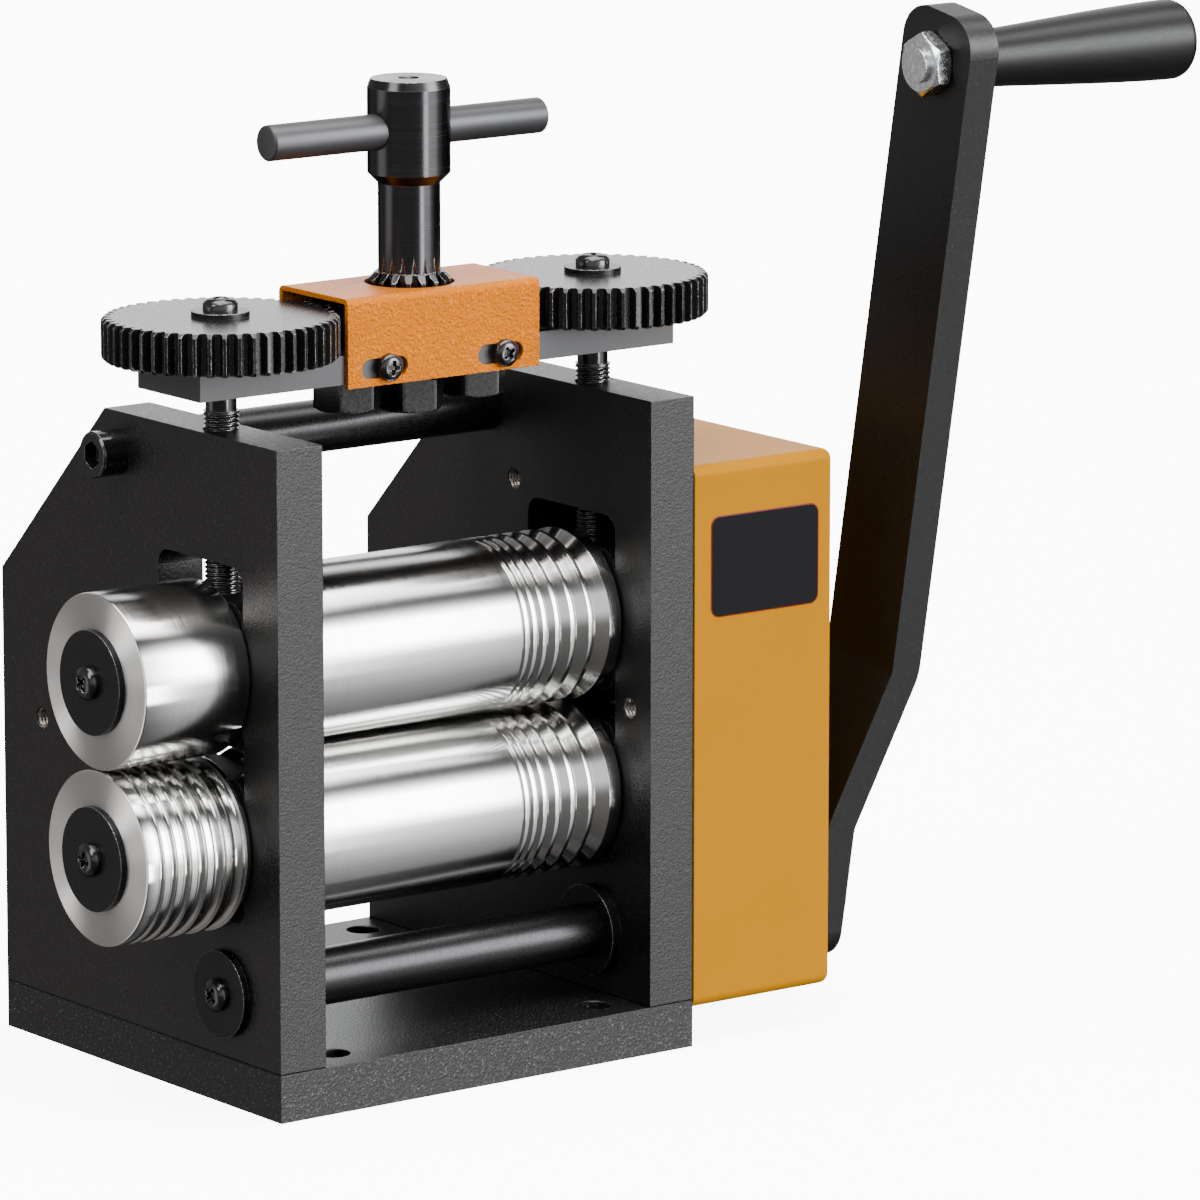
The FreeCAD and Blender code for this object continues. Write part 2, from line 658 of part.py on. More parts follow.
def side_plate(name, start, middle, taps):
    """Side plate with its bearing window, screw bores and tapped holes through it."""
    blank = prism(name + "Blank", "YZ_Plane", plate_outline, "plate_thick")
    place(blank, start)
    window = prism(name + "Window", "YZ_Plane", window_outline, "2 * plate_thick")
    rounded(window, name + "WindowCorners", "window_corner", along_x)
    place(window, start + " - plate_thick / 2")
    across = {"x": start + " - plate_thick / 2", "length": "2 * plate_thick"}
    tools = [
        window,
        rod(name + "ShaftBore", "shaft_bush_out + fit_gap", y="shaft_y", z="shaft_z", **across),
        rod(name + "TieBore", "cap_dia / 2 + hole_gap", y="tie_back", z="tie_z", **across),
        rod(name + "ScrewBore", "thread_dia / 2 + run_gap", "plate_height", middle, "roll_y",
            "window_high - base_thick", "z"),
    ]
    for index, (y, z) in enumerate(taps):
        tools.append(rod(name + "PostBore%d" % index, "spare_hole_dia / 2", y=y, z=z, **across))
    for index, end in enumerate((MINUS, "1")):
        tools.append(rod(name + "FootBore%d" % index, "foot_screw_dia / 2 + fit_gap",
                         "foot_screw_depth + drill_gap", middle, end + " * foot_screw_span / 2",
                         "base_thick", "z"))
    return cut(name, blank, *tools)


node(side_plate("LeftPlate", "0 - plate_out", "0 - plate_mid", POSTS[2:]), "left_side_plate")
node(side_plate("RightPlate", "plate_in", "plate_mid", POSTS), "right_side_plate")

tie_blank = turned(
    "TieBlank",
    [
        ("0 - plate_in", "0"),
        ("0 - plate_in", "tie_dia / 2 - edge_break"),
        ("0 - plate_in + edge_break", "tie_dia / 2"),
        ("plate_in - edge_break", "tie_dia / 2"),
        ("plate_in", "tie_dia / 2 - edge_break"),
        ("plate_in", "0"),
    ],
    "x", "tie_back", "tie_z")
tie_taps = [
    rod("TieTap" + str(index), "cap_dia / 2 + fit_gap", "cap_reach + drill_gap", start,
        "tie_back", "tie_z")
    for index, start in enumerate(("0 - plate_in", "plate_in - cap_reach - drill_gap"))
]
node(cut("TieBar", tie_blank, *tie_taps), "tie_bar")
tie_screws = [
    cap_screw("TieScrew" + str(index), "cap_head_dia", "cap_head_height", "cap_dia",
              "plate_thick + cap_reach", side + " * plate_out", side, "x", "tie_back", "tie_z")
    for index, side in enumerate((MINUS, "1"))
]
node(group("TieScrews", *tie_screws), "tie_bar_screws")


# Bearing blocks, bronze bushes and lift springs in the windows.

def block_outline(bottom):
    """Square outline of a bearing block from its underside."""
    return [
        ("roll_y - block_width / 2", bottom),
        ("roll_y + block_width / 2", bottom),
        ("roll_y + block_width / 2", bottom + " + block_height"),
        ("roll_y - block_width / 2", bottom + " + block_height"),
    ]


def bearing_block(name, start, middle, bottom, pocket):
    """Bearing block with its bush bore and two spring pockets."""
    blank = prism(name + "Blank", "YZ_Plane", block_outline(bottom), "plate_thick")
    rounded(blank, name + "Corners", "block_corner", along_x)
    place(blank, start)
    tools = [rod(name + "Bore", "block_bore", "2 * plate_thick", start + " - plate_thick / 2",
                 "roll_y", bottom + " + block_height / 2")]
    for index, end in enumerate((MINUS, "1")):
        tools.append(rod(name + "Pocket%d" % index, "spring_dia / 2 + hole_gap", "spring_seat",
                         middle, "roll_y + " + end + " * spring_offset", pocket, "z"))
    return cut(name, blank, *tools)


for level, bottom, pocket in (
        ("Lower", "low_block", "low_block + block_height - spring_seat"),
        ("Upper", "high_block", "high_block")):
    for side, start, middle in (
            ("Left", "0 - plate_out", "0 - plate_mid"), ("Right", "plate_in", "plate_mid")):
        node(bearing_block(level + side + "Block", start, middle, bottom, pocket),
             "%s_%s_bearing_block" % (level.lower(), side.lower()))
    bushes = [
        ring(level + side + "Bush", "journal_dia / 2 + run_gap", "bush_out", start,
             start + " + plate_thick", "x", "roll_y", bottom + " + block_height / 2")
        for side, start in (("Left", "0 - plate_out"), ("Right", "plate_in"))
    ]
    node(group(level + "Bushes", *bushes), level.lower() + "_roll_bushes")


def arc(start, heading, end):
    """Arc from a point along a heading to another point, and its middle."""
    chord = end - start
    normal = chord - heading * chord.dot(heading)
    normal.normalize()
    radius = chord.Length ** 2 / (2 * chord.dot(normal))
    centre = start + normal * radius
    outward = (start + end) * 0.5 - centre
    outward.normalize()
    return Part.Arc(start, centre + outward * radius, end).toShape()


def coil(radius, wire, bottom, top, turns):
    """Open coil spring: a tube along half turns, each of two tangent arcs."""
    low = bottom + wire / 2 + num("fit_gap")
    pitch = (top - wire / 2 - num("fit_gap") - low) / turns

    def at(half):
        angle = half * math.pi
        point = Vector(radius * math.cos(angle), radius * math.sin(angle), low + pitch * half / 2)
        heading = Vector(-math.sin(angle) * radius, math.cos(angle) * radius, pitch / 2 / math.pi)
        heading.normalize()
        return point, heading

    edges = []
    for half in range(int(2 * turns)):
        (first, go), (last, come) = at(half), at(half + 1)
        chord = last - first
        both = go + come
        slope = 2 * (1 - go.dot(come))
        reach = (-chord.dot(both) + math.sqrt(chord.dot(both) ** 2 + slope * chord.dot(chord))) / slope
        middle = (first + go * reach + last - come * reach) * 0.5
        edges.append(arc(first, go, middle))
        turn_back = arc(last, come * -1, middle)
        edges.append(Part.Arc(middle, turn_back.valueAt(
            (turn_back.FirstParameter + turn_back.LastParameter) / 2), last).toShape())
    start, heading = at(0)
    section = Part.Wire([Part.makeCircle(wire / 2, start, heading)])
    print("least gap between spring turns %.2f" % (pitch - wire))
    return Part.Wire(edges).makePipeShell([section], True)


spring = coil(num("(spring_dia - spring_wire) / 2"), num("spring_wire"),
              num("spring_low"), num("spring_high"), num("spring_turns"))
springs = []
for index, (side, end) in enumerate(CORNERS):
    copy = feature("LiftSpring%d" % index, spring)
    springs.append(place(copy, side + " * plate_mid", "roll_y + " + end + " * spring_offset"))
node(group("LiftSprings", *springs), "lift_springs")


# Rolls, side rolls and what holds them on their shafts.

VEES = ("vee_one", "vee_two", "vee_three", "vee_four", "vee_five", "vee_six", "vee_seven")
HALVES = ("half_one", "half_two", "half_three", "half_four", "half_five", "half_six")


def roll(name, z, gears_end):
    """Roll with its wire grooves, journals, side spigot and gear seat, turned in one piece."""
    left = "0 - barrel / 2"
    profile = [
        ("0 - side_end + spigot_short", "0"),
        ("0 - side_end + spigot_short", "spigot_dia / 2"),
        ("0 - side_start", "spigot_dia / 2"),
        ("0 - side_start", "journal_dia / 2"),
        (left, "journal_dia / 2"),
        (left, "roll_dia / 2 - edge_break"),
        (left + " + edge_break", "roll_dia / 2"),
    ]
    edge = left + " + roll_flat"
    for index, width in enumerate(VEES):
        profile.append((edge, "roll_dia / 2"))
        profile.append((edge + " + " + width + " / 2", "roll_dia / 2 - " + width + " / 2"))
        profile.append((edge + " + " + width, "roll_dia / 2"))
        edge += " + " + width + " + groove_land"
    profile += [
        ("barrel / 2 - edge_break", "roll_dia / 2"),
        ("barrel / 2", "roll_dia / 2 - edge_break"),
        ("barrel / 2", "journal_dia / 2"),
        ("roll_gear_start", "journal_dia / 2"),
        ("roll_gear_start", "seat_dia / 2"),
        (gears_end, "seat_dia / 2"),
        (gears_end, "seat_dia / 2 - ring_depth"),
        (gears_end + " + ring_thick + fit_gap", "seat_dia / 2 - ring_depth"),
        (gears_end + " + ring_thick + fit_gap", "seat_dia / 2"),
        (gears_end + " + ring_thick + shaft_tail", "seat_dia / 2"),
        (gears_end + " + ring_thick + shaft_tail", "0"),
    ]
    blank = turned(name + "Blank", profile, "x", "roll_y", z)
    tap = rod(name + "Tap", "end_screw_dia / 2 + fit_gap",
              "end_screw_reach + drill_gap", "0 - side_end", "roll_y", z)
    seats = key_boxes(name + "Seat", z, gears_end, "fit_gap")
    return cut(name, blank, tap, *seats)


def key_boxes(name, z, gears_end, gap):
    """The side roll's key and the gears' key, or their seats with a gap all round."""
    boxes = []
    for index, (start, end, dia) in enumerate((
            ("0 - side_end + key_inset", "0 - side_start - key_inset", "spigot_dia"),
            ("roll_gear_start + key_inset", gears_end + " - key_inset", "seat_dia"))):
        boxes.append(brick(
            name + str(index), end + " - (" + start + ") + 2 * " + gap, "key_width + 2 * " + gap,
            "key_seat + key_rise + 2 * " + gap, start + " - " + gap,
            "roll_y - key_width / 2 - " + gap, z + " + " + dia + " / 2 - key_seat - " + gap))
    return boxes


def keyway(name, z, dia, start, length):
    """Slot for a key in the bore of what the key drives."""
    return brick(name, length, "key_width + 2 * fit_gap", dia + " / 2 + key_rise + fit_gap",
                 start, "roll_y - key_width / 2 - fit_gap", z)


def side_roll(name, z, widths):
    """Short roll on the shaft's left end, with half-round grooves of the given widths."""
    inner = "spigot_dia / 2 + fit_gap"
    blank = turned(
        name + "Blank",
        [
            ("0 - side_end", inner),
            ("0 - side_end", "roll_dia / 2 - edge_break"),
            ("0 - side_end + edge_break", "roll_dia / 2"),
            ("0 - side_start - edge_break", "roll_dia / 2"),
            ("0 - side_start", "roll_dia / 2 - edge_break"),
            ("0 - side_start", inner),
        ],
        "x", "roll_y", z)
    tools = [keyway(name + "Keyway", z, "spigot_dia", "0 - side_end - side_length / 2",
                    "2 * side_length")]
    edge = "0 - side_end + half_start"
    for index, width in enumerate(widths):
        groove = primitive("Part::Torus", name + "Groove%d" % index,
                           Radius1="roll_dia / 2", Radius2=width + " / 2")
        groove.Placement = FreeCAD.Placement(Vector(), TURNS["x"])
        place(groove, edge + " + " + width + " / 2", "roll_y", z)
        tools.append(groove)
        edge += " + " + width + " + half_land"
    return cut(name, blank, *tools)


def retaining_ring(name, z, start):
    """Open retaining ring in its shaft groove."""
    whole = ring(name + "Whole", "seat_dia / 2 - ring_depth + fit_gap", "seat_dia / 2 + ring_rise",
                 start, start + " + ring_thick", "x", "roll_y", z)
    gap = brick(name + "Gap", "2 * ring_thick", "ring_rise", "seat_dia", start + " - ring_thick / 2",
                "roll_y - ring_rise / 2", z + " - seat_dia")
    return cut(name, whole, gap)


for level, z, gears_end, widths in (
        ("Lower", "low_z", "wheel_end", HALVES), ("Upper", "high_z", "roll_gear_end", ())):
    word = level.lower()
    node(roll(level + "Roll", z, gears_end), word + "_roll")
    node(side_roll(level + "SideRoll", z, widths), word + "_side_roll")
    node(group(level + "Keys", *key_boxes(level + "Key", z, gears_end, "0")), word + "_roll_keys")
    node(ring(level + "SideWasher", "end_screw_dia / 2 + hole_gap", "side_washer_dia / 2",
              "0 - side_end - washer_thick", "0 - side_end", "x", "roll_y", z),
         word + "_side_washer")
    node(pan_screw(level + "SideScrew", "head_dia", "head_height", "end_screw_dia",
                   "end_screw_reach + washer_thick", "0 - side_end - washer_thick", MINUS,
                   "x", "roll_y", z),
         word + "_side_screw")
    node(retaining_ring(level + "Ring", z, gears_end), word + "_retaining_ring")


# Gears on the rolls and the crank shaft that drives them.

def lying(name, shape, start, y, z):
    """Toothed disc laid along the rolls, its angles measured from +Y towards +Z."""
    thing = feature(name, shape)
    thing.Placement = FreeCAD.Placement(
        Vector(), FreeCAD.Rotation(Vector(0, 1, 0), Vector(0, 0, 1), Vector(1, 0, 0)))
    return place(thing, start, y, z)


ROLL_TEETH = int(num("roll_teeth"))
roll_tip = num("roll_gear_tip")
roll_root = num("centre_gap") - roll_tip - num("roll_gear_root")


def roll_gear(name, z, turn):
    """Long-toothed gear that drives one roll from the other at any opening."""
    disc = toothed(ROLL_TEETH, num("roll_module"), roll_tip, roll_root, num("roll_backlash"),
                   num("roll_gear_face"), turn, 3)
    blank = lying(name + "Blank", disc, "roll_gear_start", "roll_y", z)
    bore = rod(name + "Bore", "seat_dia / 2 + fit_gap", "2 * roll_gear_face",
               "roll_gear_start - roll_gear_face / 2", "roll_y", z)
    slot = keyway(name + "Keyway", z, "seat_dia", "roll_gear_start - roll_gear_face / 2",
                  "2 * roll_gear_face")
    return cut(name, blank, bore, slot)


node(roll_gear("LowerRollGear", "low_z", 90), "lower_roll_gear")
node(roll_gear("UpperRollGear", "high_z", -90 + 180 / ROLL_TEETH), "upper_roll_gear")

DRIVE_TEETH = int(num("drive_teeth"))
WHEEL_TEETH = int(num("wheel_teeth"))
drive_module = num("drive_module")
line_of_gears = math.degrees(math.atan2(num("low_z - shaft_z"), num("roll_y - shaft_y")))

wheel_pitch = drive_module * WHEEL_TEETH / 2
wheel_disc = toothed(WHEEL_TEETH, drive_module, wheel_pitch + drive_module,
                     wheel_pitch - 1.25 * drive_module, num("drive_backlash"), num("drive_face"),
                     line_of_gears + 180 + 180 / WHEEL_TEETH, 2)
wheel_blank = union(
    "WheelBlank",
    lying("WheelDisc", wheel_disc, "wheel_start", "roll_y", "low_z"),
    rod("WheelHub", "seat_dia / 2 + key_rise + key_width", "gear_gap", "roll_gear_end",
        "roll_y", "low_z"))
wheel_bore = rod("WheelBore", "seat_dia / 2 + fit_gap", "2 * drive_face",
                 "roll_gear_end - drive_face / 4", "roll_y", "low_z")
wheel_slot = keyway("WheelKeyway", "low_z", "seat_dia", "roll_gear_end - drive_face / 4",
                    "2 * drive_face")
node(cut("Wheel", wheel_blank, wheel_bore, wheel_slot), "reduction_gear")

shaft_blank = turned(
    "ShaftBlank",
    stepped(
        ("shaft_left", "plate_out + side_gap", "shaft_dia / 2"),
        ("plate_out + side_gap", "wheel_start", "shaft_collar_dia / 2"),
        ("wheel_start", "arm_in", "shaft_dia / 2")),
    "x", "shaft_y", "shaft_z")
drive_pitch = drive_module * DRIVE_TEETH / 2
drive_disc = toothed(DRIVE_TEETH, drive_module, drive_pitch + drive_module,
                     drive_pitch - 1.25 * drive_module, num("drive_backlash"), num("drive_face"),
                     line_of_gears, 3)


def leaned(thing):
    """Turn a piece with the crank about its shaft."""
    thing.Placement = FreeCAD.Placement(Vector(), FreeCAD.Rotation(Vector(1, 0, 0), 10))
    thing.setExpression(".Placement.Rotation.Angle", ex("crank_lean * 1deg"))
    return place(thing, "0", "shaft_y", "shaft_z")


def square(half):
    """Corners of a square about the shaft's axis."""
    return [("0 - " + half, "0 - " + half), (half, "0 - " + half), (half, half), ("0 - " + half, half)]


shaft_square = leaned(cut(
    "ShaftSquare",
    prism("ShaftSquareBar", "YZ_Plane", square("square_side / 2"), "arm_out - spigot_short"),
    brick("ShaftSquareTrim", "wheel_end", "shaft_dia", "shaft_dia", "0", "0 - shaft_dia / 2",
          "0 - shaft_dia / 2")))
shaft_whole = union("ShaftWhole", shaft_blank,
                    lying("ShaftTeeth", drive_disc, "wheel_start", "shaft_y", "shaft_z"),
                    shaft_square)
shaft_taps = [
    rod("ShaftLeftTap", "end_screw_dia / 2 + fit_gap", "end_screw_reach + drill_gap",
        "shaft_left", "shaft_y", "shaft_z"),
    rod("ShaftRightTap", "crank_screw_dia / 2 + fit_gap", "crank_thick + end_screw_reach",
        "arm_out - crank_thick - end_screw_reach + edge_break", "shaft_y", "shaft_z"),
]
node(cut("CrankShaft", shaft_whole, *shaft_taps), "crank_shaft")

shaft_bushes = []
for side, name in ((MINUS, "LeftShaftBush"), ("1", "RightShaftBush")):
    shaft_bushes.append(turned(
        name,
        [
            (side + " * plate_out", "shaft_dia / 2 + run_gap"),
            (side + " * plate_out", "shaft_bush_out"),
            (side + " * plate_in", "shaft_bush_out"),
            (side + " * plate_in", "shaft_flange_dia / 2"),
            (side + " * (plate_in - shaft_flange_thick)", "shaft_flange_dia / 2"),
            (side + " * (plate_in - shaft_flange_thick)", "shaft_dia / 2 + run_gap"),
        ],
        "x", "shaft_y", "shaft_z"))
node(group("ShaftBushes", *shaft_bushes), "crank_shaft_bushes")
node(ring("ShaftWasher", "end_screw_dia / 2 + hole_gap", "shaft_washer_dia / 2",
          "shaft_left - washer_thick", "shaft_left", "x", "shaft_y", "shaft_z"),
     "crank_shaft_washer")
node(pan_screw("ShaftScrew", "head_dia", "head_height", "end_screw_dia",
               "end_screw_reach + washer_thick", "shaft_left - washer_thick", MINUS,
               "x", "shaft_y", "shaft_z"),
     "crank_shaft_screw")


# Crank arm and grip.

BEND = "(crank_thick * tan(atan(crank_offset / (bend_high - bend_low)) / 2))"
arm_side = prism(
    "ArmSide", "XZ_Plane",
    [
        ("arm_in", "0 - crank_tail"),
        ("arm_out", "0 - crank_tail"),
        ("arm_out", "bend_low - " + BEND),
        ("arm_far + crank_thick", "bend_high - " + BEND),
        ("arm_far + crank_thick", "crank_radius + crank_tip"),
        ("arm_far", "crank_radius + crank_tip"),
        ("arm_far", "bend_high"),
        ("arm_in", "bend_low"),
    ],
    "crank_width")
place(arm_side, "0", "crank_width / 2")


def near_bend(across, up):
    """Test for the bend edge of the arm at one corner of its side."""
    corner = Vector(num(across), 0, num(up))

    def chosen(edge):
        middle = edge.CenterOfMass
        return abs(edge.BoundBox.YLength - num("crank_width")) < 0.001 and \
            math.hypot(middle.x - corner.x, middle.z - corner.z) < 0.001

    return chosen


for name, radius, across, up in (
        ("BendLowIn", "bend_radius", "arm_out", "bend_low - " + BEND),
        ("BendHighIn", "bend_radius", "arm_far", "bend_high"),
        ("BendLowOut", "bend_radius + crank_thick", "arm_in", "bend_low"),
        ("BendHighOut", "bend_radius + crank_thick", "arm_far + crank_thick",
         "bend_high - " + BEND)):
    rounded(arm_side, name, radius, near_bend(across, up))
arm_front = prism(
    "ArmFront", "YZ_Plane",
    [
        ("0 - crank_width / 2", "0 - crank_tail"),
        ("crank_width / 2", "0 - crank_tail"),
        ("crank_width / 2", "crank_radius + crank_tip"),
        ("0 - crank_width / 2", "crank_radius + crank_tip"),
    ],
    "arm_far + 2 * crank_thick")
rounded(arm_front, "ArmEnds", "crank_corner", along_x)
arm_whole = shared("ArmWhole", arm_side, arm_front)
arm_holes = (
    prism("ArmSquare", "YZ_Plane", square("(square_side / 2 + fit_gap)"), "arm_far"),
    rod("ArmGripHole", "grip_bolt_dia / 2 + fit_gap", "arm_far", "arm_far / 2", "0", "crank_radius"),
)
node(leaned(cut("CrankArm", arm_whole, *arm_holes)), "crank_arm")
node(cap_screw("ArmScrew", "crank_head_dia", "crank_head_height", "crank_screw_dia",
               "crank_thick", "arm_out", "1", "x", "shaft_y", "shaft_z"),
     "crank_arm_screw")

GRIP_HOLE = "grip_bolt_dia / 2 + run_gap"
GRIP_SINK = "(grip_end - grip_recess - grip_head_height)"
grip_profile = [
    ("grip_start", GRIP_HOLE),
    ("grip_start", "grip_dia_near / 2 - edge_break"),
    ("grip_start + edge_break", "grip_dia_near / 2"),
    ("grip_start + grip_length * 0.25", "grip_dia_near / 2 + (grip_dia_far - grip_dia_near) * 0.155"),
    ("grip_start + grip_length * 0.5", "grip_dia_near / 2 + (grip_dia_far - grip_dia_near) * 0.305"),
    ("grip_start + grip_length * 0.75", "grip_dia_near / 2 + (grip_dia_far - grip_dia_near) * 0.435"),
    ("grip_end - 1.5 * grip_round", "grip_dia_far / 2"),
    ("grip_end - grip_round", "grip_dia_far / 2 - grip_round / 4"),
    ("grip_end", "grip_dia_far / 2 - grip_round"),
    ("grip_end", "grip_head_dia / 2 + hole_gap"),
    (GRIP_SINK, "grip_head_dia / 2 + hole_gap"),
    (GRIP_SINK, GRIP_HOLE),
]
node(turned("Grip", grip_profile, "x", "grip_y", "grip_z"), "grip")
node(cap_screw("GripBolt", "grip_head_dia", "grip_head_height", "grip_bolt_dia",
               GRIP_SINK + " + end_gap - arm_far + nut_height + grip_bolt_proud",
               "(" + GRIP_SINK + " + end_gap)", "1", "x", "grip_y", "grip_z"),
     "grip_bolt")
grip_nut = cut(
    "GripNut",
    hexagon("GripNutBlank", "nut_flats", "nut_height", "arm_far - nut_height", "grip_y", "grip_z", "x"),
    rod("GripNutHole", "grip_bolt_dia / 2 + fit_gap", "2 * nut_height", "arm_far - 1.5 * nut_height",
        "grip_y", "grip_z"))
node(grip_nut, "grip_nut")


# Gear cover with the posts and screws that hold it.

def cover_outline(wall):
    """Cover outline, drawn in by a wall."""
    in_bevel = "(" + wall + ") * (sqrt(2) - 1)"
    front = "0 - cover_front + " + wall
    back = "cover_back - (" + wall + ")"
    low = "cover_low + " + wall
    high = "cover_high - (" + wall + ")"
    return [
        (front, low),
        (back, low),
        (back, "cover_high - cover_bevel - " + in_bevel),
        ("cover_back - cover_bevel - " + in_bevel, high),
        (front, high),
    ]


cover_blank = prism("CoverBlank", "YZ_Plane", cover_outline("0"), "cover_depth - cover_gap")
rounded(cover_blank, "CoverCorners", "cover_corner", lambda edge: (
    along_x(edge) or edge.BoundBox.XMin > num("cover_depth - cover_gap") - 0.001))
place(cover_blank, "plate_out + cover_gap")
cover_room = prism("CoverRoom", "YZ_Plane", cover_outline("cover_wall"), "cover_depth")
rounded(cover_room, "CoverRoomCorners", "cover_corner - cover_wall", along_x)
place(cover_room, "plate_out - cover_wall")
cover_holes = [
    rod("CoverShaftHole", "shaft_dia / 2 + hole_gap", "cover_depth", "cover_out - cover_depth / 2",
        "shaft_y", "shaft_z")
]
for index, (y, z) in enumerate(POSTS):
    cover_holes.append(rod("CoverHole%d" % index, "guard_screw_dia / 2 + hole_gap", "cover_depth",
                           "cover_out - cover_depth / 2", y, z))
node(cut("GearCover", cover_blank, cover_room, *cover_holes), "gear_cover")
posts = []
cover_screws = []
for index, (y, z) in enumerate(POSTS):
    post = turned(
        "PostBlank%d" % index,
        stepped(
            ("plate_out - post_seat", "plate_out", "spare_hole_dia / 2 - fit_gap"),
            ("plate_out", "cover_out - cover_wall", "post_dia / 2")),
        "x", y, z)
    tap = rod("PostTap%d" % index, "guard_screw_dia / 2 + fit_gap",
              "guard_screw_reach + drill_gap",
              "cover_out - cover_wall - guard_screw_reach - drill_gap", y, z)
    posts.append(cut("Post%d" % index, post, tap))
    cover_screws.append(pan_screw(
        "CoverScrew%d" % index, "guard_head_dia", "guard_head_height", "guard_screw_dia",
        "cover_wall + guard_screw_reach", "cover_out", "1", "x", y, z))
node(group("CoverPosts", *posts), "cover_posts")
node(group("CoverScrews", *cover_screws), "cover_screws")


# Bridge bar, idler bolts, gear guard and its screws.

bridge_blank = brick("BridgeBlank", "bridge_length", "bridge_width", "bridge_thick",
                     "0 - bridge_length / 2", "bridge_front", "bridge_low")
bridge_tools = [
    rod("BridgeSpindleHole", "spindle_neck_dia / 2 + run_gap", "2 * bridge_thick", "0", "roll_y",
        "bridge_low - bridge_thick / 2", "z"),
]
guard_screws = []
idler_bolts = []
SLOT_Z = "(bridge_low + slot_rise)"
for index, side in enumerate((MINUS, "1")):
    bridge_tools.append(rod("BridgeScrewHole%d" % index, "neck_dia / 2 + run_gap",
                            "2 * bridge_thick", side + " * plate_mid", "roll_y",
                            "bridge_low - bridge_thick / 2", "z"))
    bridge_tools.append(rod("BridgeIdlerHole%d" % index, "idler_axle_dia / 2 + fit_gap",
                            "2 * bridge_thick", side + " * idler_x", "roll_y",
                            "bridge_low - bridge_thick / 2", "z"))
    screw_x = side + " * slot_centre + guard_screw_shift"
    bridge_tools.append(rod("BridgeFrontTap%d" % index, "guard_screw_dia / 2 + fit_gap",
                            "guard_screw_reach + drill_gap", screw_x, "bridge_front", SLOT_Z, "y"))
    bridge_tools.append(rod("BridgeBackTap%d" % index, "guard_screw_dia / 2 + fit_gap",
                            "guard_screw_reach + drill_gap", screw_x,
                            "bridge_front + bridge_width - guard_screw_reach - drill_gap", SLOT_Z,
                            "y"))
    for face, out, where in (("bridge_front - guard_sheet", MINUS, "Front"),
                             ("bridge_front + bridge_width + guard_sheet", "1", "Back")):
        guard_screws.append(pan_screw(
            "Guard%sScrew%d" % (where, index), "guard_head_dia", "guard_head_height",
            "guard_screw_dia", "guard_sheet + guard_screw_reach", face, out, "y", screw_x, SLOT_Z))
    idler_bolts.append(union(
        "IdlerBolt%d" % index,
        hexagon("IdlerHex%d" % index, "hex_flats", "hex_height", side + " * idler_x", "roll_y",
                "bridge_low - hex_height"),
        rod("IdlerShank%d" % index, "idler_axle_dia / 2", "gear_high - bridge_low + hex_height / 2",
            side + " * idler_x", "roll_y", "bridge_low - hex_height / 2", "z")))
node(cut("BridgeBar", bridge_blank, *bridge_tools), "bridge_bar")
node(group("IdlerBolts", *idler_bolts), "idler_bolts")
node(group("GuardScrews", *guard_screws), "guard_screws")

GUARD_FRONT = "bridge_front - guard_sheet"
GUARD_BACK = "bridge_front + bridge_width + guard_sheet"
guard_blank = prism(
    "GuardBlank", "YZ_Plane",
    [
        (GUARD_FRONT, "guard_low"),
        ("bridge_front", "guard_low"),
        ("bridge_front", "guard_high - guard_sheet"),
        ("bridge_front + bridge_width", "guard_high - guard_sheet"),
        ("bridge_front + bridge_width", "guard_low"),
        (GUARD_BACK, "guard_low"),
        (GUARD_BACK, "guard_high"),
        (GUARD_FRONT, "guard_high"),
    ],
    "guard_length")
rounded(guard_blank, "GuardBends", "guard_bend", lambda edge: (
    along_x(edge) and abs(edge.CenterOfMass.z - num("guard_high")) < 0.001))
rounded(guard_blank, "GuardInnerBends", "guard_bend - guard_sheet", lambda edge: (
    along_x(edge) and abs(edge.CenterOfMass.z - num("guard_high - guard_sheet")) < 0.001
    and min(abs(edge.CenterOfMass.y - num("bridge_front")),
            abs(edge.CenterOfMass.y - num("bridge_front + bridge_width"))) < 0.001))
place(guard_blank, "0 - guard_length / 2")
guard_tools = [rod("GuardHole", "guard_hole_dia / 2", "guard_high", "0", "roll_y",
                   "guard_high / 2 + bridge_low / 4", "z")]
for index, side in enumerate((MINUS, "1")):
    slot_x = side + " * slot_centre - slot_shift"
    half = "(slot_length - slot_width) / 2"
    guard_tools.append(brick("SlotBar%d" % index, "slot_length - slot_width",
                             "2 * bridge_width", "slot_width", slot_x + " - " + half,
                             "bridge_front - bridge_width / 2", SLOT_Z + " - slot_width / 2"))
    for end in (MINUS, "1"):
        guard_tools.append(rod("SlotEnd%d%s" % (index, "A" if end == MINUS else "B"),
                               "slot_width / 2", "2 * bridge_width",
                               slot_x + " + " + end + " * " + half,
                               "bridge_front - bridge_width / 2", SLOT_Z, "y"))
node(cut("GearGuard", guard_blank, *guard_tools), "gear_guard")


# Adjustment gears: spindle with its handle, idlers, and the gears of the pressure screws.

FINE_TEETH = int(num("pinion_teeth"))
GEAR_TEETH = int(num("gear_teeth"))
fine_module = num("fine_module")
fine_slack = num("fine_backlash")
pinion_pitch = fine_module * FINE_TEETH / 2
gear_pitch = fine_module * GEAR_TEETH / 2

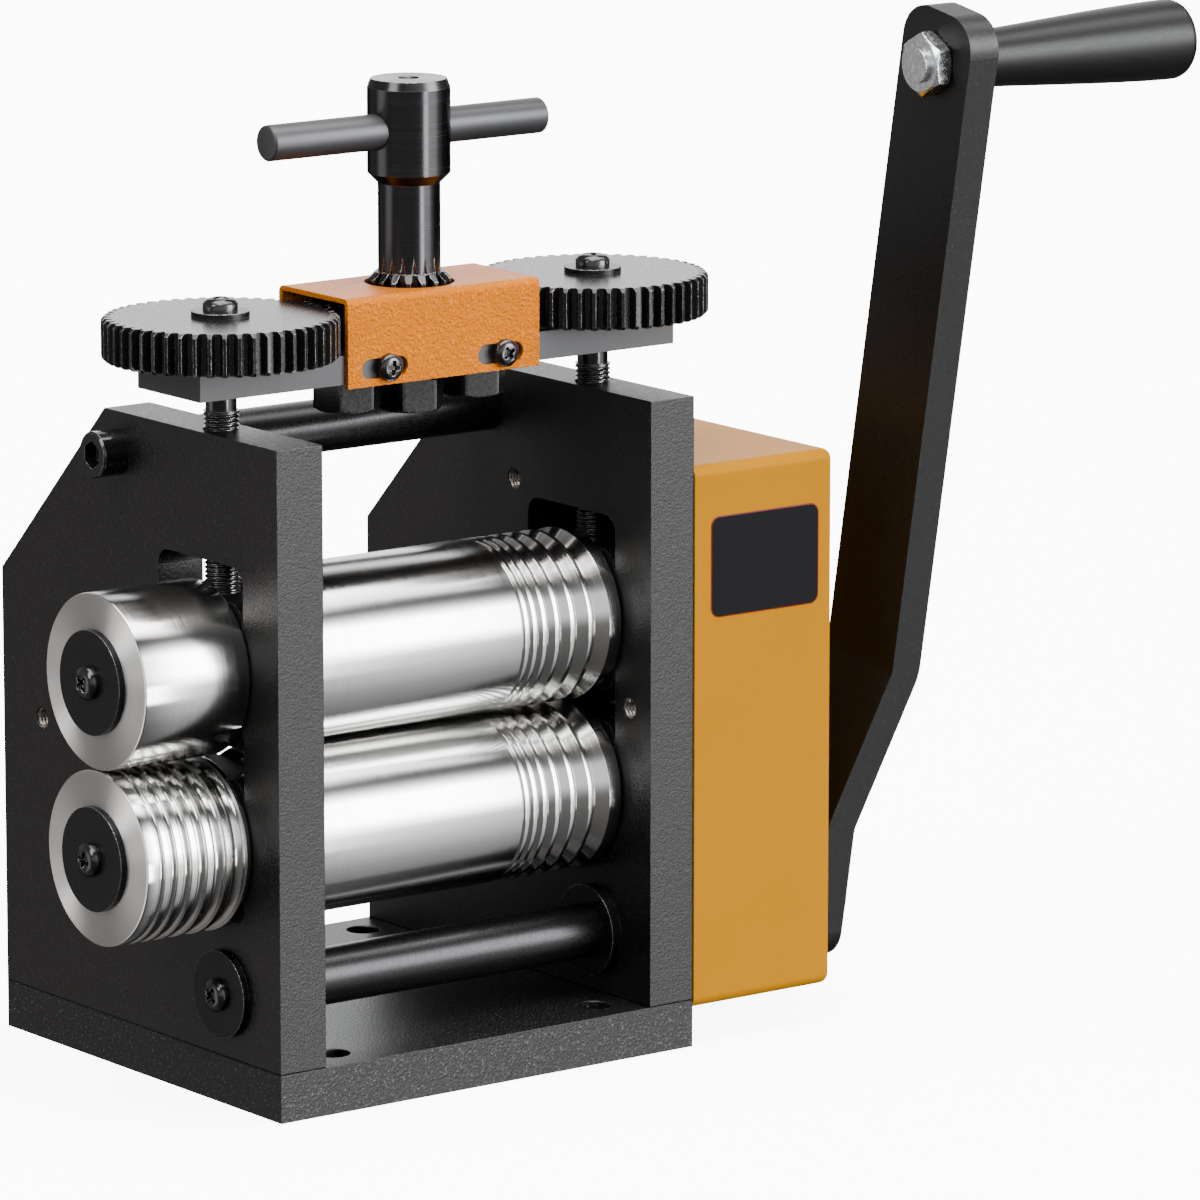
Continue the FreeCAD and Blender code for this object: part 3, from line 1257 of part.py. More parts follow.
spindle_blank = turned(
    "SpindleBlank",
    [
        ("nut_low", "0"),
        ("nut_low", "thread_dia / 2"),
        ("bridge_low - end_gap", "thread_dia / 2"),
        ("bridge_low - end_gap", "spindle_neck_dia / 2"),
        ("bridge_high + end_gap", "spindle_neck_dia / 2"),
        ("bridge_high + end_gap", "spindle_shaft_dia / 2"),
        ("cone_low", "spindle_shaft_dia / 2"),
        ("head_low", "spindle_head_dia / 2"),
        ("head_low + spindle_head_height - head_bevel_height", "spindle_head_dia / 2"),
        ("head_low + spindle_head_height", "spindle_head_dia / 2 - head_bevel"),
        ("head_low + spindle_head_height", "centre_dia / 2"),
        ("head_low + spindle_head_height - centre_depth", "0"),
    ],
    "z", "0", "roll_y")
spindle_tip = pinion_pitch + fine_module - num("spindle_trim")
spindle_root = pinion_pitch - 1.25 * fine_module - num("spindle_trim")
spindle_disc = toothed(FINE_TEETH, fine_module, spindle_tip, spindle_root, fine_slack,
                       num("spindle_teeth_rise"), 0, 3)
SPINDLE_TIP = "(fine_module * (pinion_teeth / 2 + 1) - spindle_trim)"
spindle_teeth = shared(
    "SpindleTeeth",
    place(feature("SpindleDisc", spindle_disc), "0", "roll_y", "gear_low"),
    turned(
        "SpindleRim",
        [
            ("gear_low", "0"),
            ("gear_low", SPINDLE_TIP),
            ("teeth_high - spindle_bevel", SPINDLE_TIP),
            ("teeth_high", SPINDLE_TIP + " - spindle_bevel"),
            ("teeth_high", "0"),
        ],
        "z", "0", "roll_y"))
runout = Part.makeCone(num("runout_dia") / 2, 0, num("runout_length"),
                       Vector(num("spindle_shaft_dia") / 2, 0, 0))
runouts = []
for index in range(FINE_TEETH):
    groove = runout.copy()
    groove.rotate(Vector(), Vector(0, 0, 1), 360 * (index + 0.5) / FINE_TEETH)
    runouts.append(groove)
spindle_runouts = place(feature("SpindleRunouts", Part.makeCompound(runouts)), "0", "roll_y", "teeth_high")
spindle_cross = rod("SpindleCross", "tommy_dia / 2 + fit_gap", "2 * spindle_head_dia",
                    "0 - spindle_head_dia", "roll_y", "head_low + tommy_rise")
node(cut("Spindle", union("SpindleWhole", spindle_blank, spindle_teeth), spindle_cross, spindle_runouts),
     "spindle")
node(turned(
    "CrossBar",
    [
        ("0 - tommy_shift - tommy_length / 2", "0"),
        ("0 - tommy_shift - tommy_length / 2", "tommy_dia / 2 - edge_break"),
        ("edge_break - tommy_shift - tommy_length / 2", "tommy_dia / 2"),
        ("tommy_length / 2 - tommy_shift - edge_break", "tommy_dia / 2"),
        ("tommy_length / 2 - tommy_shift", "tommy_dia / 2 - edge_break"),
        ("tommy_length / 2 - tommy_shift", "0"),
    ],
    "x", "roll_y", "head_low + tommy_rise"), "cross_bar")
node(ring("SpindleWasher", "thread_dia / 2 + hole_gap", "spindle_washer_dia / 2",
          "bridge_low - end_gap - washer_thick", "bridge_low - end_gap", "z", "0", "roll_y"),
     "spindle_washer")
node(cut(
    "SpindleNut",
    hexagon("SpindleNutBlank", "hex_flats", "hex_height", "0", "roll_y", "nut_low"),
    rod("SpindleNutHole", "thread_dia / 2 + fit_gap", "2 * hex_height", "0", "roll_y",
        "nut_low - hex_height / 2", "z")), "spindle_nut")


def adjusting_gear(name, blank, x, bore):
    """Toothed disc with a hub ring under it and a bore through both."""
    hub = rod(name + "Hub", "gear_hub_dia / 2", "gear_lift + gear_face / 2 - end_gap", x, "roll_y",
              "bridge_high + end_gap", "z")
    hole = rod(name + "Bore", bore, "2 * gear_face", x, "roll_y", "gear_low - gear_face / 2", "z")
    return cut(name, union(name + "Whole", blank, hub), hole)


def upright(name, teeth, tip, root, face, turn, steps, x):
    """Upright toothed disc standing at the gears' underside."""
    disc = toothed(teeth, fine_module, tip, root, fine_slack, num(face), turn, steps)
    return place(feature(name, disc), x, "roll_y", "gear_low")


for side, word, idler_turn, gear_turn in (
        (MINUS, "Left", 180 - 180 / FINE_TEETH, 0),
        ("1", "Right", 180 + 180 / FINE_TEETH, 180 - 180 * FINE_TEETH / GEAR_TEETH)):
    idler_x = side + " * idler_x"
    screw_x = side + " * plate_mid"
    idler = upright(word + "IdlerDisc", FINE_TEETH, pinion_pitch + fine_module,
                    pinion_pitch - 1.25 * fine_module, "gear_face", idler_turn, 3, idler_x)
    node(adjusting_gear(word + "Idler", idler, idler_x, "idler_axle_dia / 2 + run_gap"),
         word.lower() + "_idler_pinion")

    disc = upright(word + "GearDisc", GEAR_TEETH, gear_pitch + fine_module,
                   gear_pitch - 1.25 * fine_module, "gear_face", gear_turn, 1, screw_x)
    tip = "(fine_module * (gear_teeth / 2 + 1))"
    rim = turned(
        word + "GearRim",
        [
            ("gear_low", "0"),
            ("gear_low", tip + " - rim_chamfer"),
            ("gear_low + rim_chamfer", tip),
            ("gear_high - rim_chamfer", tip),
            ("gear_high", tip + " - rim_chamfer"),
            ("gear_high", "0"),
        ],
        "z", screw_x, "roll_y")
    bevelled = shared(word + "GearBevelled", disc, rim)
    node(adjusting_gear(word + "Gear", bevelled, screw_x, "gear_seat_dia / 2 + fit_gap"),
         word.lower() + "_screw_gear")
    threaded = turned(
        word + "ScrewBlank",
        stepped(
            ("high_block + block_height + tip_gap", "bridge_low - collar_thick - relief_length",
             "thread_dia / 2"),
            ("bridge_low - collar_thick - relief_length", "bridge_low - collar_thick - end_gap",
             "relief_dia / 2"),
            ("bridge_low - collar_thick - end_gap", "bridge_low - end_gap", "collar_dia / 2"),
            ("bridge_low - end_gap", "bridge_high + end_gap", "neck_dia / 2"),
            ("bridge_high + end_gap", "gear_high - spigot_short", "gear_seat_dia / 2")),
        "z", screw_x, "roll_y")
    tap = rod(word + "ScrewTap", "end_screw_dia / 2 + fit_gap", "end_screw_reach + drill_gap",
              screw_x, "roll_y", "gear_high - end_screw_reach - drill_gap", "z")
    node(cut(word + "PressureScrew", threaded, tap), word.lower() + "_pressure_screw")
    node(ring(word + "GearWasher", "end_screw_dia / 2 + hole_gap", "gear_washer_dia / 2",
              "gear_high", "gear_high + gear_washer_thick", "z", screw_x, "roll_y"),
         word.lower() + "_gear_washer")
    node(pan_screw(word + "GearScrew", "head_dia", "head_height", "end_screw_dia",
                   "end_screw_reach + gear_washer_thick", "(gear_high + gear_washer_thick)", "1",
                   "z", screw_x, "roll_y"),
         word.lower() + "_gear_screw")


# Checks on every object, then one file for each sub-part.

doc.recompute()
for thing in doc.Objects:
    if "Invalid" in thing.State or "Error" in thing.State:
        raise RuntimeError("%s is %s" % (thing.Name, thing.State))
for thing in nodes:
    if thing.Shape.isNull() or not thing.Shape.isValid() or not thing.Shape.Solids:
        raise RuntimeError("%s has no valid shape" % thing.Label)
os.makedirs("parts", exist_ok=True)
for thing in nodes:
    thing.Shape.exportStep("parts/%s.step" % thing.Label)
    print("%-28s %2d solids %12.1f mm3" % (thing.Label, len(thing.Shape.Solids), thing.Shape.Volume))
print("%d sub-parts" % len(nodes))
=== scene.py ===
"""Looks of a hand-cranked rolling mill for jewelry sheet and wire.

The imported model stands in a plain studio. Each sub-assembly is a class that holds its sizes,
dresses its solids and builds the surfaces that need more than the solids give. Surfaces are
worked out with numpy from a profile or a formula over two parameters. Lengths are in millimetres
where nothing else is said.
"""

import logging
import math
from dataclasses import dataclass, replace
from enum import Enum

import bmesh
import bpy
import numpy as np
from mathutils import Matrix, Vector

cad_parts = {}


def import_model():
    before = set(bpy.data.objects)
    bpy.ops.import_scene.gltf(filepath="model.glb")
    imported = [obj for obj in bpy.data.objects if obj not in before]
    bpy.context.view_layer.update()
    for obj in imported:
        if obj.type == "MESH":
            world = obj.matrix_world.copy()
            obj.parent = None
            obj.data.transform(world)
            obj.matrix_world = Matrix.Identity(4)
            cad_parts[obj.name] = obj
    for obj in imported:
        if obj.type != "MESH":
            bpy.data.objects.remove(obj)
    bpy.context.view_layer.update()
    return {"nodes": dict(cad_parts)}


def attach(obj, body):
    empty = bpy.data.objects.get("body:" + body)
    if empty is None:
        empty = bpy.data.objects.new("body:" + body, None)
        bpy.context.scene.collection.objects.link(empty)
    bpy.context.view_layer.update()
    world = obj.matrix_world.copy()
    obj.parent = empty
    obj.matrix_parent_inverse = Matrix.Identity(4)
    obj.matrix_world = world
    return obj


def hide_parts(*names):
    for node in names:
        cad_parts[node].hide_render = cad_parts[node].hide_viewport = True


LOG = logging.getLogger("rolling_mill")
MM = 0.001
BASE_TOP = 13.5  # height of the base plate's top
ROLL_Y = -31.0  # plane of the rolls, the spindle and the pressure screws
NICKS_PER_METRE = 900.0  # how close the chips lie along the edges' wear and painted highlight
# The tapped holes through the right plate, which hold the cover's posts: (y, z).
TAPPED_HOLES = ((-4.0, 155.2), (-58.2, 97.9), (48.3, 93.1))
Point = tuple[float, float, float]
Pairs = tuple[tuple[float, float], ...]
Piece = bpy.types.Object
Node = bpy.types.Node
Tree = bpy.types.NodeTree
Output = tuple[Node, int | str]


class Axis(Enum):
    """Direction of a turned piece: its own axis, then the two directions across it."""

    X = ((1, 0, 0), (0, 1, 0), (0, 0, 1))
    MINUS_X = ((-1, 0, 0), (0, -1, 0), (0, 0, 1))
    Y = ((0, 1, 0), (0, 0, 1), (1, 0, 0))
    MINUS_Y = ((0, -1, 0), (1, 0, 0), (0, 0, 1))
    Z = ((0, 0, 1), (1, 0, 0), (0, 1, 0))


# Materials


def linear(hex_colour: str) -> tuple[float, float, float, float]:
    """Turn an sRGB hex colour into Blender's linear values.

    Args:
        hex_colour: Six hex digits with a leading #.

    Returns:
        Linear red, green, blue and an alpha of 1.
    """
    parts = [int(hex_colour[i:i + 2], 16) / 255 for i in (1, 3, 5)]
    values = [p / 12.92 if p <= 0.04045 else ((p + 0.055) / 1.055) ** 2.4 for p in parts]
    return values[0], values[1], values[2], 1.0


def add(tree: Tree, kind: str, settings: dict | None = None,
        links: dict | None = None) -> Node:
    """Add one shader node.

    Args:
        tree: Tree that takes the node.
        kind: Node type name after ShaderNode.
        settings: Socket values by socket name or number, and node properties by name.
        links: (node, output) by input name or number.

    Returns:
        The new node.
    """
    node = tree.nodes.new("ShaderNode" + kind)
    for key, value in (settings or {}).items():
        if isinstance(key, int) or key in node.inputs:
            node.inputs[key].default_value = value
        else:
            setattr(node, key, value)
    for key, (source, output) in (links or {}).items():
        tree.links.new(source.outputs[output], node.inputs[key])
    return node


@dataclass(frozen=True)
class Finish:
    """A surface finish; sizes in millimetres.

    Colour varies a little over `cloud_mm`. Grain of `grain_mm` gives bump and roughness, and the
    share `speck` of its peaks turns to `speck_and_highlight_colour`: specks on the black coats and
    a painted highlight on the peaks of the orange wrinkle. Edges within `edge_mm` turn to
    `edge_wear_and_highlight_colour`, worn metal and a painted highlight along every edge, the
    share
    `edge_even` of it unbroken. Tool marks of `ring_mm` run round `ring_axis` through
    `ring_centre`, also as circles on the end faces, and `turned` draws the shine out across them.
    A hairline joint runs level at the height `seam`, `seam_mm` wide to each side. `tint` colours
    the shine seen head-on, and `slot` holds a name that is not used.
    """

    name: str
    colour: str
    slot: str = ""
    roughness: float = 0.4
    metallic: float = 0.0
    coat: float = 0.0
    coat_roughness: float = 0.1
    specular: float = 0.5
    tint: str = "#ffffff"
    cloud_mm: float = 25.0
    cloud: float = 0.12
    grain_mm: float = 0.0
    grain_depth: float = 0.0
    grain_rough: float = 0.0
    speck: float = 0.0
    speck_and_highlight_colour: str = "#9a9a9c"
    edge_mm: float = 0.0
    edge_wear_and_highlight_colour: str = "#777777"
    edge_share: float = 0.5
    edge_even: float = 0.0
    ring_mm: float = 0.0
    ring_depth: float = 0.0
    ring_rough: float = 0.0
    ring_axis: str = "X"
    ring_centre: Point = (0.0, ROLL_Y, 0.0)
    turned: float = 0.0
    seam: float = 0.0
    seam_mm: float = 0.35

    def material(self) -> bpy.types.Material:
        """Build the material, unless it is there already.

        Returns:
            The material.
        """
        made = bpy.data.materials.get(self.name)
        if not made:
            made = bpy.data.materials.new(self.name)
            made.use_nodes = True
            made.node_tree.nodes.clear()
            Layers(self, made.node_tree).build()
        return made


class Layers:
    """The layers of one finish, from its colour to its tool marks.

    `ends` holds the outputs for the shader's inputs; each layer builds on them and renews them.
    """

    def __init__(self, finish: Finish, tree: Tree) -> None:
        """Start with the place on the piece.

        Args:
            finish: Finish to build.
            tree: Its material's tree.
        """
        self.finish = finish
        self.tree = tree
        self.place: Output = (add(tree, "TexCoord"), "Object")
        self.ends: dict[str, Output] = {}

    def build(self) -> None:
        """Add the layers that the finish has, then the shader."""
        finish, tree = self.finish, self.tree
        self.add_colour()
        for size, add_layer in (
                (finish.edge_mm, self.add_edge_wear_and_highlight), (finish.grain_mm, self.add_grain),
                (finish.seam, self.add_seam), (finish.ring_mm, self.add_rings)):
            if size:
                add_layer()
        if finish.turned:
            marks = add(tree, "Tangent",
                        {"direction_type": "RADIAL", "axis": finish.ring_axis})
            self.ends["Tangent"] = (marks, "Tangent")
        shader = add(tree, "BsdfPrincipled",
                     {"Roughness": finish.roughness, "Metallic": finish.metallic,
                      "Specular IOR Level": finish.specular,
                      "Specular Tint": linear(finish.tint), "Anisotropic": finish.turned,
                      "Anisotropic Rotation": 0.25, "Coat Weight": finish.coat,
                      "Coat Roughness": finish.coat_roughness}, self.ends)
        add(tree, "OutputMaterial", links={"Surface": (shader, "BSDF")})

    def add_colour(self) -> None:
        """Let the colour drift between a darker and a lighter shade."""
        finish, tree = self.finish, self.tree
        cloud = add(tree, "TexNoise", {"Scale": 1000 / finish.cloud_mm, "Detail": 3.0},
                    {"Vector": self.place})
        shade = linear(finish.colour)[:3]
        darker = tuple(v * (1 - finish.cloud) for v in shade) + (1.0,)
        lighter = tuple(min(1.0, v * (1 + finish.cloud)) for v in shade) + (1.0,)
        drift = add(tree, "Mix", {"data_type": "RGBA", 6: darker, 7: lighter},
                    {0: (cloud, "Fac")})
        self.ends["Base Color"] = (drift, 2)

    def add_edge_wear_and_highlight(self) -> None:
        """Round the edges and tint them with wear and a painted highlight, broken by small nicks.
        """
        finish, tree = self.finish, self.tree
        bevel = add(tree, "Bevel", {"samples": 4, "Radius": finish.edge_mm * MM})
        facing = add(tree, "NewGeometry")
        same = add(tree, "VectorMath", {"operation": "DOT_PRODUCT"},
                   {0: (bevel, "Normal"), 1: (facing, "Normal")})
        # The edge colour stands for worn metal and is also a painted highlight, laid on every edge
        # whichever way the light falls.
        worn_and_lit = add(tree, "MapRange", {1: 0.995, 2: 0.88, 3: 0.0, 4: finish.edge_share},
                   {0: (same, "Value")})
        nicks = add(tree, "TexNoise", {"Scale": NICKS_PER_METRE, "Detail": 2.0},
                    {"Vector": self.place})
        chips = add(tree, "MapRange", {1: 0.42, 2: 0.6, 3: finish.edge_even},
                    {0: (nicks, "Fac")})
        share = add(tree, "Math", {"operation": "MULTIPLY"},
                    {0: (worn_and_lit, 0), 1: (chips, 0)})
        self.add_tint((share, 0), finish.edge_wear_and_highlight_colour)
        self.ends["Normal"] = (bevel, "Normal")

    def add_grain(self) -> None:
        """Raise the grain, colour its peaks (a painted highlight on the wrinkle coat) and vary the
        gloss with it.
        """
        finish, tree = self.finish, self.tree
        grain = add(tree, "TexNoise",
                    {"Scale": 1000 / finish.grain_mm, "Detail": 2.5, "Roughness": 0.55},
                    {"Vector": self.place})
        self.add_relief((grain, "Fac"), finish.grain_depth, finish.grain_rough)
        if finish.speck:
            # The peaks' colour gives specks on the black coats and a painted highlight on the
            # orange wrinkle.
            peaks = add(tree, "MapRange", {1: 0.6, 2: 0.72, 3: 0.0, 4: finish.speck},
                        {0: (grain, "Fac")})
            self.add_tint((peaks, 0), finish.speck_and_highlight_colour)

    def add_seam(self) -> None:
        """Press a level hairline groove in."""
        finish, tree = self.finish, self.tree
        level = add(tree, "SeparateXYZ", links={0: self.place})
        off = add(tree, "Math", {"operation": "SUBTRACT", 1: finish.seam * MM},
                  {0: (level, "Z")})
        away = add(tree, "Math", {"operation": "ABSOLUTE"}, {0: (off, 0)})
        groove = add(tree, "MapRange", {1: 0.0, 2: finish.seam_mm * MM}, {0: (away, 0)})
        self.add_relief((groove, 0), finish.seam_mm, 0.0)

    def add_rings(self) -> None:
        """Cut tool marks from a noise over the distance along the axis and the radius."""
        finish, tree = self.finish, self.tree
        along = Vector([float(finish.ring_axis == letter) for letter in "XYZ"])
        centred = add(tree, "Mapping", {"Location": -MM * Vector(finish.ring_centre)},
                      {"Vector": self.place})
        station = add(tree, "VectorMath", {"operation": "DOT_PRODUCT", 1: along},
                      {0: (centred, "Vector")})
        across = add(tree, "VectorMath",
                     {"operation": "MULTIPLY", 1: Vector((1, 1, 1)) - along},
                     {0: (centred, "Vector")})
        radius = add(tree, "VectorMath", {"operation": "LENGTH"},
                     {0: (across, "Vector")})
        profile = add(tree, "CombineXYZ",
                      links={0: (station, "Value"), 1: (radius, "Value")})
        rings = add(tree, "TexNoise",
                    {"Scale": 1000 / finish.ring_mm, "Detail": 4.0, "Roughness": 0.6},
                    {"Vector": (profile, "Vector")})
        self.add_relief((rings, "Fac"), finish.ring_depth, finish.ring_rough)

    def add_tint(self, share: Output, colour: str) -> None:
        """Turn the given share of the colour to another one.

        Args:
            share: Output that gives the share.
            colour: Hex colour to turn to.
        """
        mixed = add(self.tree, "Mix", {"data_type": "RGBA", 7: linear(colour)},
                    {0: share, 6: self.ends["Base Color"]})
        self.ends["Base Color"] = (mixed, 2)

    def add_relief(self, height: Output, depth: float, gloss: float) -> None:
        """Turn a pattern into relief whose heights are duller than its depths.

        Args:
            height: Output that gives the pattern, from 0 to 1.
            depth: Its depth.
            gloss: How far the roughness departs from the finish's own; 0 leaves it as it is.
        """
        under = {"Normal": self.ends["Normal"]} if "Normal" in self.ends else {}
        bump = add(self.tree, "Bump", {"Strength": 1.0, "Distance": depth * MM},
                   {"Height": height, **under})
        self.ends["Normal"] = (bump, "Normal")
        if gloss:
            middle = self.finish.roughness
            rough = add(self.tree, "MapRange",
                        {1: 0.3, 2: 0.7, 3: middle - gloss, 4: middle + gloss}, {0: height})
            self.ends["Roughness"] = (rough, 0)


# Epoxy powder coat, sprayed and baked: a dull fine sand, the metal close under the edges with a
# painted highlight along them, and a hairline shadow where the plates stand on the base.
BLACK_POWDER = Finish("black_powder_coat", "#0a0908", "black_plate", roughness=0.37,
                      grain_mm=0.65, grain_depth=0.1, grain_rough=0.08, speck=0.12,
                      speck_and_highlight_colour="#5c5c60", edge_mm=0.35, edge_wear_and_highlight_colour="#77777a",
                      edge_share=0.35, specular=0.3, seam=BASE_TOP)
# The same coat on the base, sprayed drier: coarser, with bright specks.
BASE_POWDER = replace(BLACK_POWDER, name="base_powder_coat", grain_mm=0.75, grain_depth=0.12,
                      speck=0.6)
# Grey mill paint on the bar, rolled on flat: almost no grain.
GREY_PAINT = Finish("grey_bar_paint", "#29292b", "bar_paint", roughness=0.42, grain_mm=0.6,
                    grain_depth=0.02, grain_rough=0.08, edge_mm=0.35, edge_wear_and_highlight_colour="#8a8a8c",
                    edge_share=0.4, specular=0.4)
# Textured polyester powder: a leathery wrinkle about 1 mm across that breaks up the shine, its
# peaks and edges painted a lighter orange as a painted highlight.
ORANGE_WRINKLE = Finish("orange_wrinkle_coat", "#a35900", "guard_paint", roughness=0.32,
                        grain_mm=0.9, grain_depth=0.75, grain_rough=0.08, speck=0.6,
                        speck_and_highlight_colour="#e08c28", edge_mm=0.4, edge_wear_and_highlight_colour="#f4a860",
                        edge_share=0.4, cloud=0.05, specular=0.35, tint="#ff7000")
# Smooth powder coat on folded sheet: even colour, soft shine, a faint orange peel of 2 mm.
ORANGE_SMOOTH = Finish("orange_smooth_coat", "#8f5f00", "cover_paint", roughness=0.42,
                       grain_mm=2.2, grain_depth=0.02, cloud=0.04, specular=0.12,
                       tint="#ff8000")
# Hardened steel ground between centres: fine rings round it draw the shine out along the roll,
# and across the rings on its end faces.
GROUND_STEEL = Finish("ground_roll_steel", "#c6c5c3", "roll_steel", roughness=0.17, metallic=1.0,
                      cloud=0.05, ring_mm=0.5, ring_depth=0.0015, ring_rough=0.04, turned=0.85)
# The side rolls' end faces, turned and not ground: coarser rings fan the shine out into two rays.
TURNED_FACE = replace(GROUND_STEEL, name="turned_steel_face", roughness=0.45, turned=0.95,
                      ring_depth=0.004, ring_rough=0.06)
# Black oxide over hobbed steel: dark satin skin, rubbed to bare metal on the tooth edges,
# which are also lightened as a painted highlight.
BLACK_OXIDE = Finish("black_oxide_steel", "#212022", "dark_gear", roughness=0.24, metallic=0.7,
                     grain_mm=0.8, grain_depth=0.004, grain_rough=0.06, edge_mm=0.24,
                     edge_wear_and_highlight_colour="#c4c2c0", edge_share=0.5, edge_even=0.3)
# The same skin on the milled bearing blocks, dull with dried oil.
BLOCK_OXIDE = replace(BLACK_OXIDE, name="dull_black_oxide_blocks", colour="#0b0b0c",
                      roughness=0.7, metallic=0.0, specular=0.06, grain_depth=0.02,
                      edge_share=0.15)
# Oiled black oxide on turned bar: smoother and glossier than on the gears.
BLACK_BAR = Finish("oiled_black_bar", "#161517", "dark_screw", roughness=0.3, metallic=0.6,
                   grain_mm=0.6, grain_depth=0.006, grain_rough=0.06, edge_mm=0.3,
                   edge_wear_and_highlight_colour="#b4b4b4", edge_share=0.8, edge_even=0.5)
# The same skin on the spindle, where the turning tool's fine feed lines show as a grey sheen.
TURNED_SPINDLE = Finish("turned_black_spindle", "#39383a", "dark_screw", roughness=0.24,
                        metallic=1.0, ring_mm=0.45, ring_depth=0.003, ring_rough=0.05,
                        ring_axis="Z", turned=0.5, edge_mm=0.3, edge_wear_and_highlight_colour="#c4c3c2",
                        edge_share=0.7, edge_even=0.3)
# Drawn bar of the handle: the drawing lines are too fine to see and leave an even grey satin.
DRAWN_BAR = Finish("drawn_black_bar", "#39393b", "dark_gear", roughness=0.42, metallic=0.6,
                   grain_mm=0.5, grain_depth=0.006, grain_rough=0.06, edge_mm=0.35,
                   edge_wear_and_highlight_colour="#c0c0c0", edge_share=0.9, edge_even=0.7)
# Black zinc screws: glossy dark skin with a little coat.
BLACK_ZINC = Finish("black_zinc_screws", "#29282a", "dark_screw", roughness=0.2, metallic=0.8,
                    coat=0.4, grain_mm=0.5, grain_depth=0.006, grain_rough=0.05, edge_mm=0.2,
                    edge_wear_and_highlight_colour="#c8c8c8", edge_share=0.7, edge_even=0.4)
# Bare cut steel with a film of oil, brownish in the holes.
TAPPED_STEEL = Finish("tapped_bare_steel", "#8d8680", roughness=0.32, metallic=1.0, grain_mm=0.5,
                      grain_depth=0.004, grain_rough=0.1)
# Bright zinc plate: pale, slightly blue metal with a soft sparkle.
BRIGHT_ZINC = Finish("bright_zinc_plate", "#d8dce0", "zinc", roughness=0.22, metallic=1.0,
                     grain_mm=1.4, grain_depth=0.006, grain_rough=0.08, edge_mm=0.3,
                     edge_wear_and_highlight_colour="#f2f4f6", edge_share=0.7, edge_even=0.6)
# Sintered bronze bush, seen only as a thin rim.
BRONZE = Finish("sintered_bronze", "#8a6a35", "bronze", roughness=0.4, metallic=1.0,
                grain_mm=0.3, grain_depth=0.01, grain_rough=0.08)
# Spring wire: drawn steel, grey and even.
SPRING_WIRE = Finish("drawn_spring_wire", "#7d7d7f", "bright_steel", roughness=0.3, metallic=1.0,
                     grain_mm=0.4, grain_depth=0.004, grain_rough=0.05)
# Black enamel on the crank's flat bar: deep black, soft shine, a little orange peel.
ARM_ENAMEL = Finish("black_arm_enamel", "#060606", "arm_paint", roughness=0.42, grain_mm=0.6,
                    grain_depth=0.03, grain_rough=0.08, speck=0.3, speck_and_highlight_colour="#3a3a3c",
                    edge_mm=0.35, edge_wear_and_highlight_colour="#4a4a4c", edge_share=0.3, specular=0.3)
# Moulded polypropylene grip: black with a satin gloss.
GRIP_PLASTIC = Finish("moulded_grip_plastic", "#0a0a0b", "grip_plastic", roughness=0.38,
                      grain_mm=0.7, grain_depth=0.008, grain_rough=0.05, cloud=0.05,
                      specular=0.2)
# Printed polyester plate: dark grey and matt.
LABEL_GREY = Finish("label_dark_grey", "#0e0e10", roughness=0.55, grain_mm=0.4,
                    grain_depth=0.004, grain_rough=0.05, specular=0.04)
# The thin line round the plate.
LABEL_RED = Finish("label_red_line", "#541408", roughness=0.45, grain_mm=0.4, grain_depth=0.003,
                   grain_rough=0.04, specular=0.1)


# Surfaces


def dress(piece: Piece, finish: Finish) -> None:
    """Give every face of an object one finish."""
    piece.data.materials.clear()
    piece.data.materials.append(finish.material())


def surface(name: str, grids: list[np.ndarray], finish: Finish,
            crease_deg: float = 30.0) -> Piece:
    """Make one mesh piece from grids of points, each closed round its first direction.

    The faces join point (i, j) to its neighbours at i + 1 and j + 1. Rows that fall on one point
    close into a pole, and the normals are turned outwards.

    Args:
        name: Name of the piece.
        grids: Points in millimetres, each shaped (round, along, 3).
        finish: Finish of the piece.
        crease_deg: Angle above which an edge stays sharp.

    Returns:
        The linked object, its place in its mesh.
    """
    points, faces, first = [], [], 0
    for grid in grids:
        count_u, count_v = grid.shape[:2]
        here = first + np.arange(count_u * count_v).reshape(count_u, count_v)
        ahead = np.roll(here, -1, axis=0)
        quads = np.stack([here[:, :-1], ahead[:, :-1], ahead[:, 1:], here[:, 1:]], axis=-1)
        points.append(grid.reshape(-1, 3) * MM)
        faces.append(quads.reshape(-1, 4))
        first += count_u * count_v
    mesh = bpy.data.meshes.new(name)
    mesh.from_pydata(np.concatenate(points).tolist(), [], np.concatenate(faces).tolist())
    work = bmesh.new()
    work.from_mesh(mesh)
    bmesh.ops.remove_doubles(work, verts=work.verts, dist=1e-7)
    bmesh.ops.dissolve_degenerate(work, edges=work.edges, dist=1e-8)
    bmesh.ops.recalc_face_normals(work, faces=work.faces)
    work.to_mesh(mesh)
    work.free()
    mesh.shade_smooth()
    mesh.set_sharp_from_angle(angle=math.radians(crease_deg))
    piece = bpy.data.objects.new(name, mesh)
    bpy.context.scene.collection.objects.link(piece)
    dress(piece, finish)
    LOG.info("made %s with %d faces", name, len(mesh.polygons))
    return piece


def around(axis: Axis, centre: Point, distance: np.ndarray,
           radius: np.ndarray, angle: np.ndarray) -> np.ndarray:
    """Points about an axis: centre + distance * axis + radius * (cos * across + sin * up).

    Args:
        axis: Direction of the piece.
        centre: Point from which distances count.
        distance: Distances along the axis.
        radius: Radii, shaped like the distances or broadcast with them.
        angle: Angles, broadcast with both.

    Returns:
        The grid of points.
    """
    along, across, up = (np.array(direction, float) for direction in axis.value)
    distance, radius, angle = np.broadcast_arrays(distance, radius, angle)
    return (np.array(centre, float) + distance[..., None] * along
            + (radius * np.cos(angle))[..., None] * across
            + (radius * np.sin(angle))[..., None] * up)


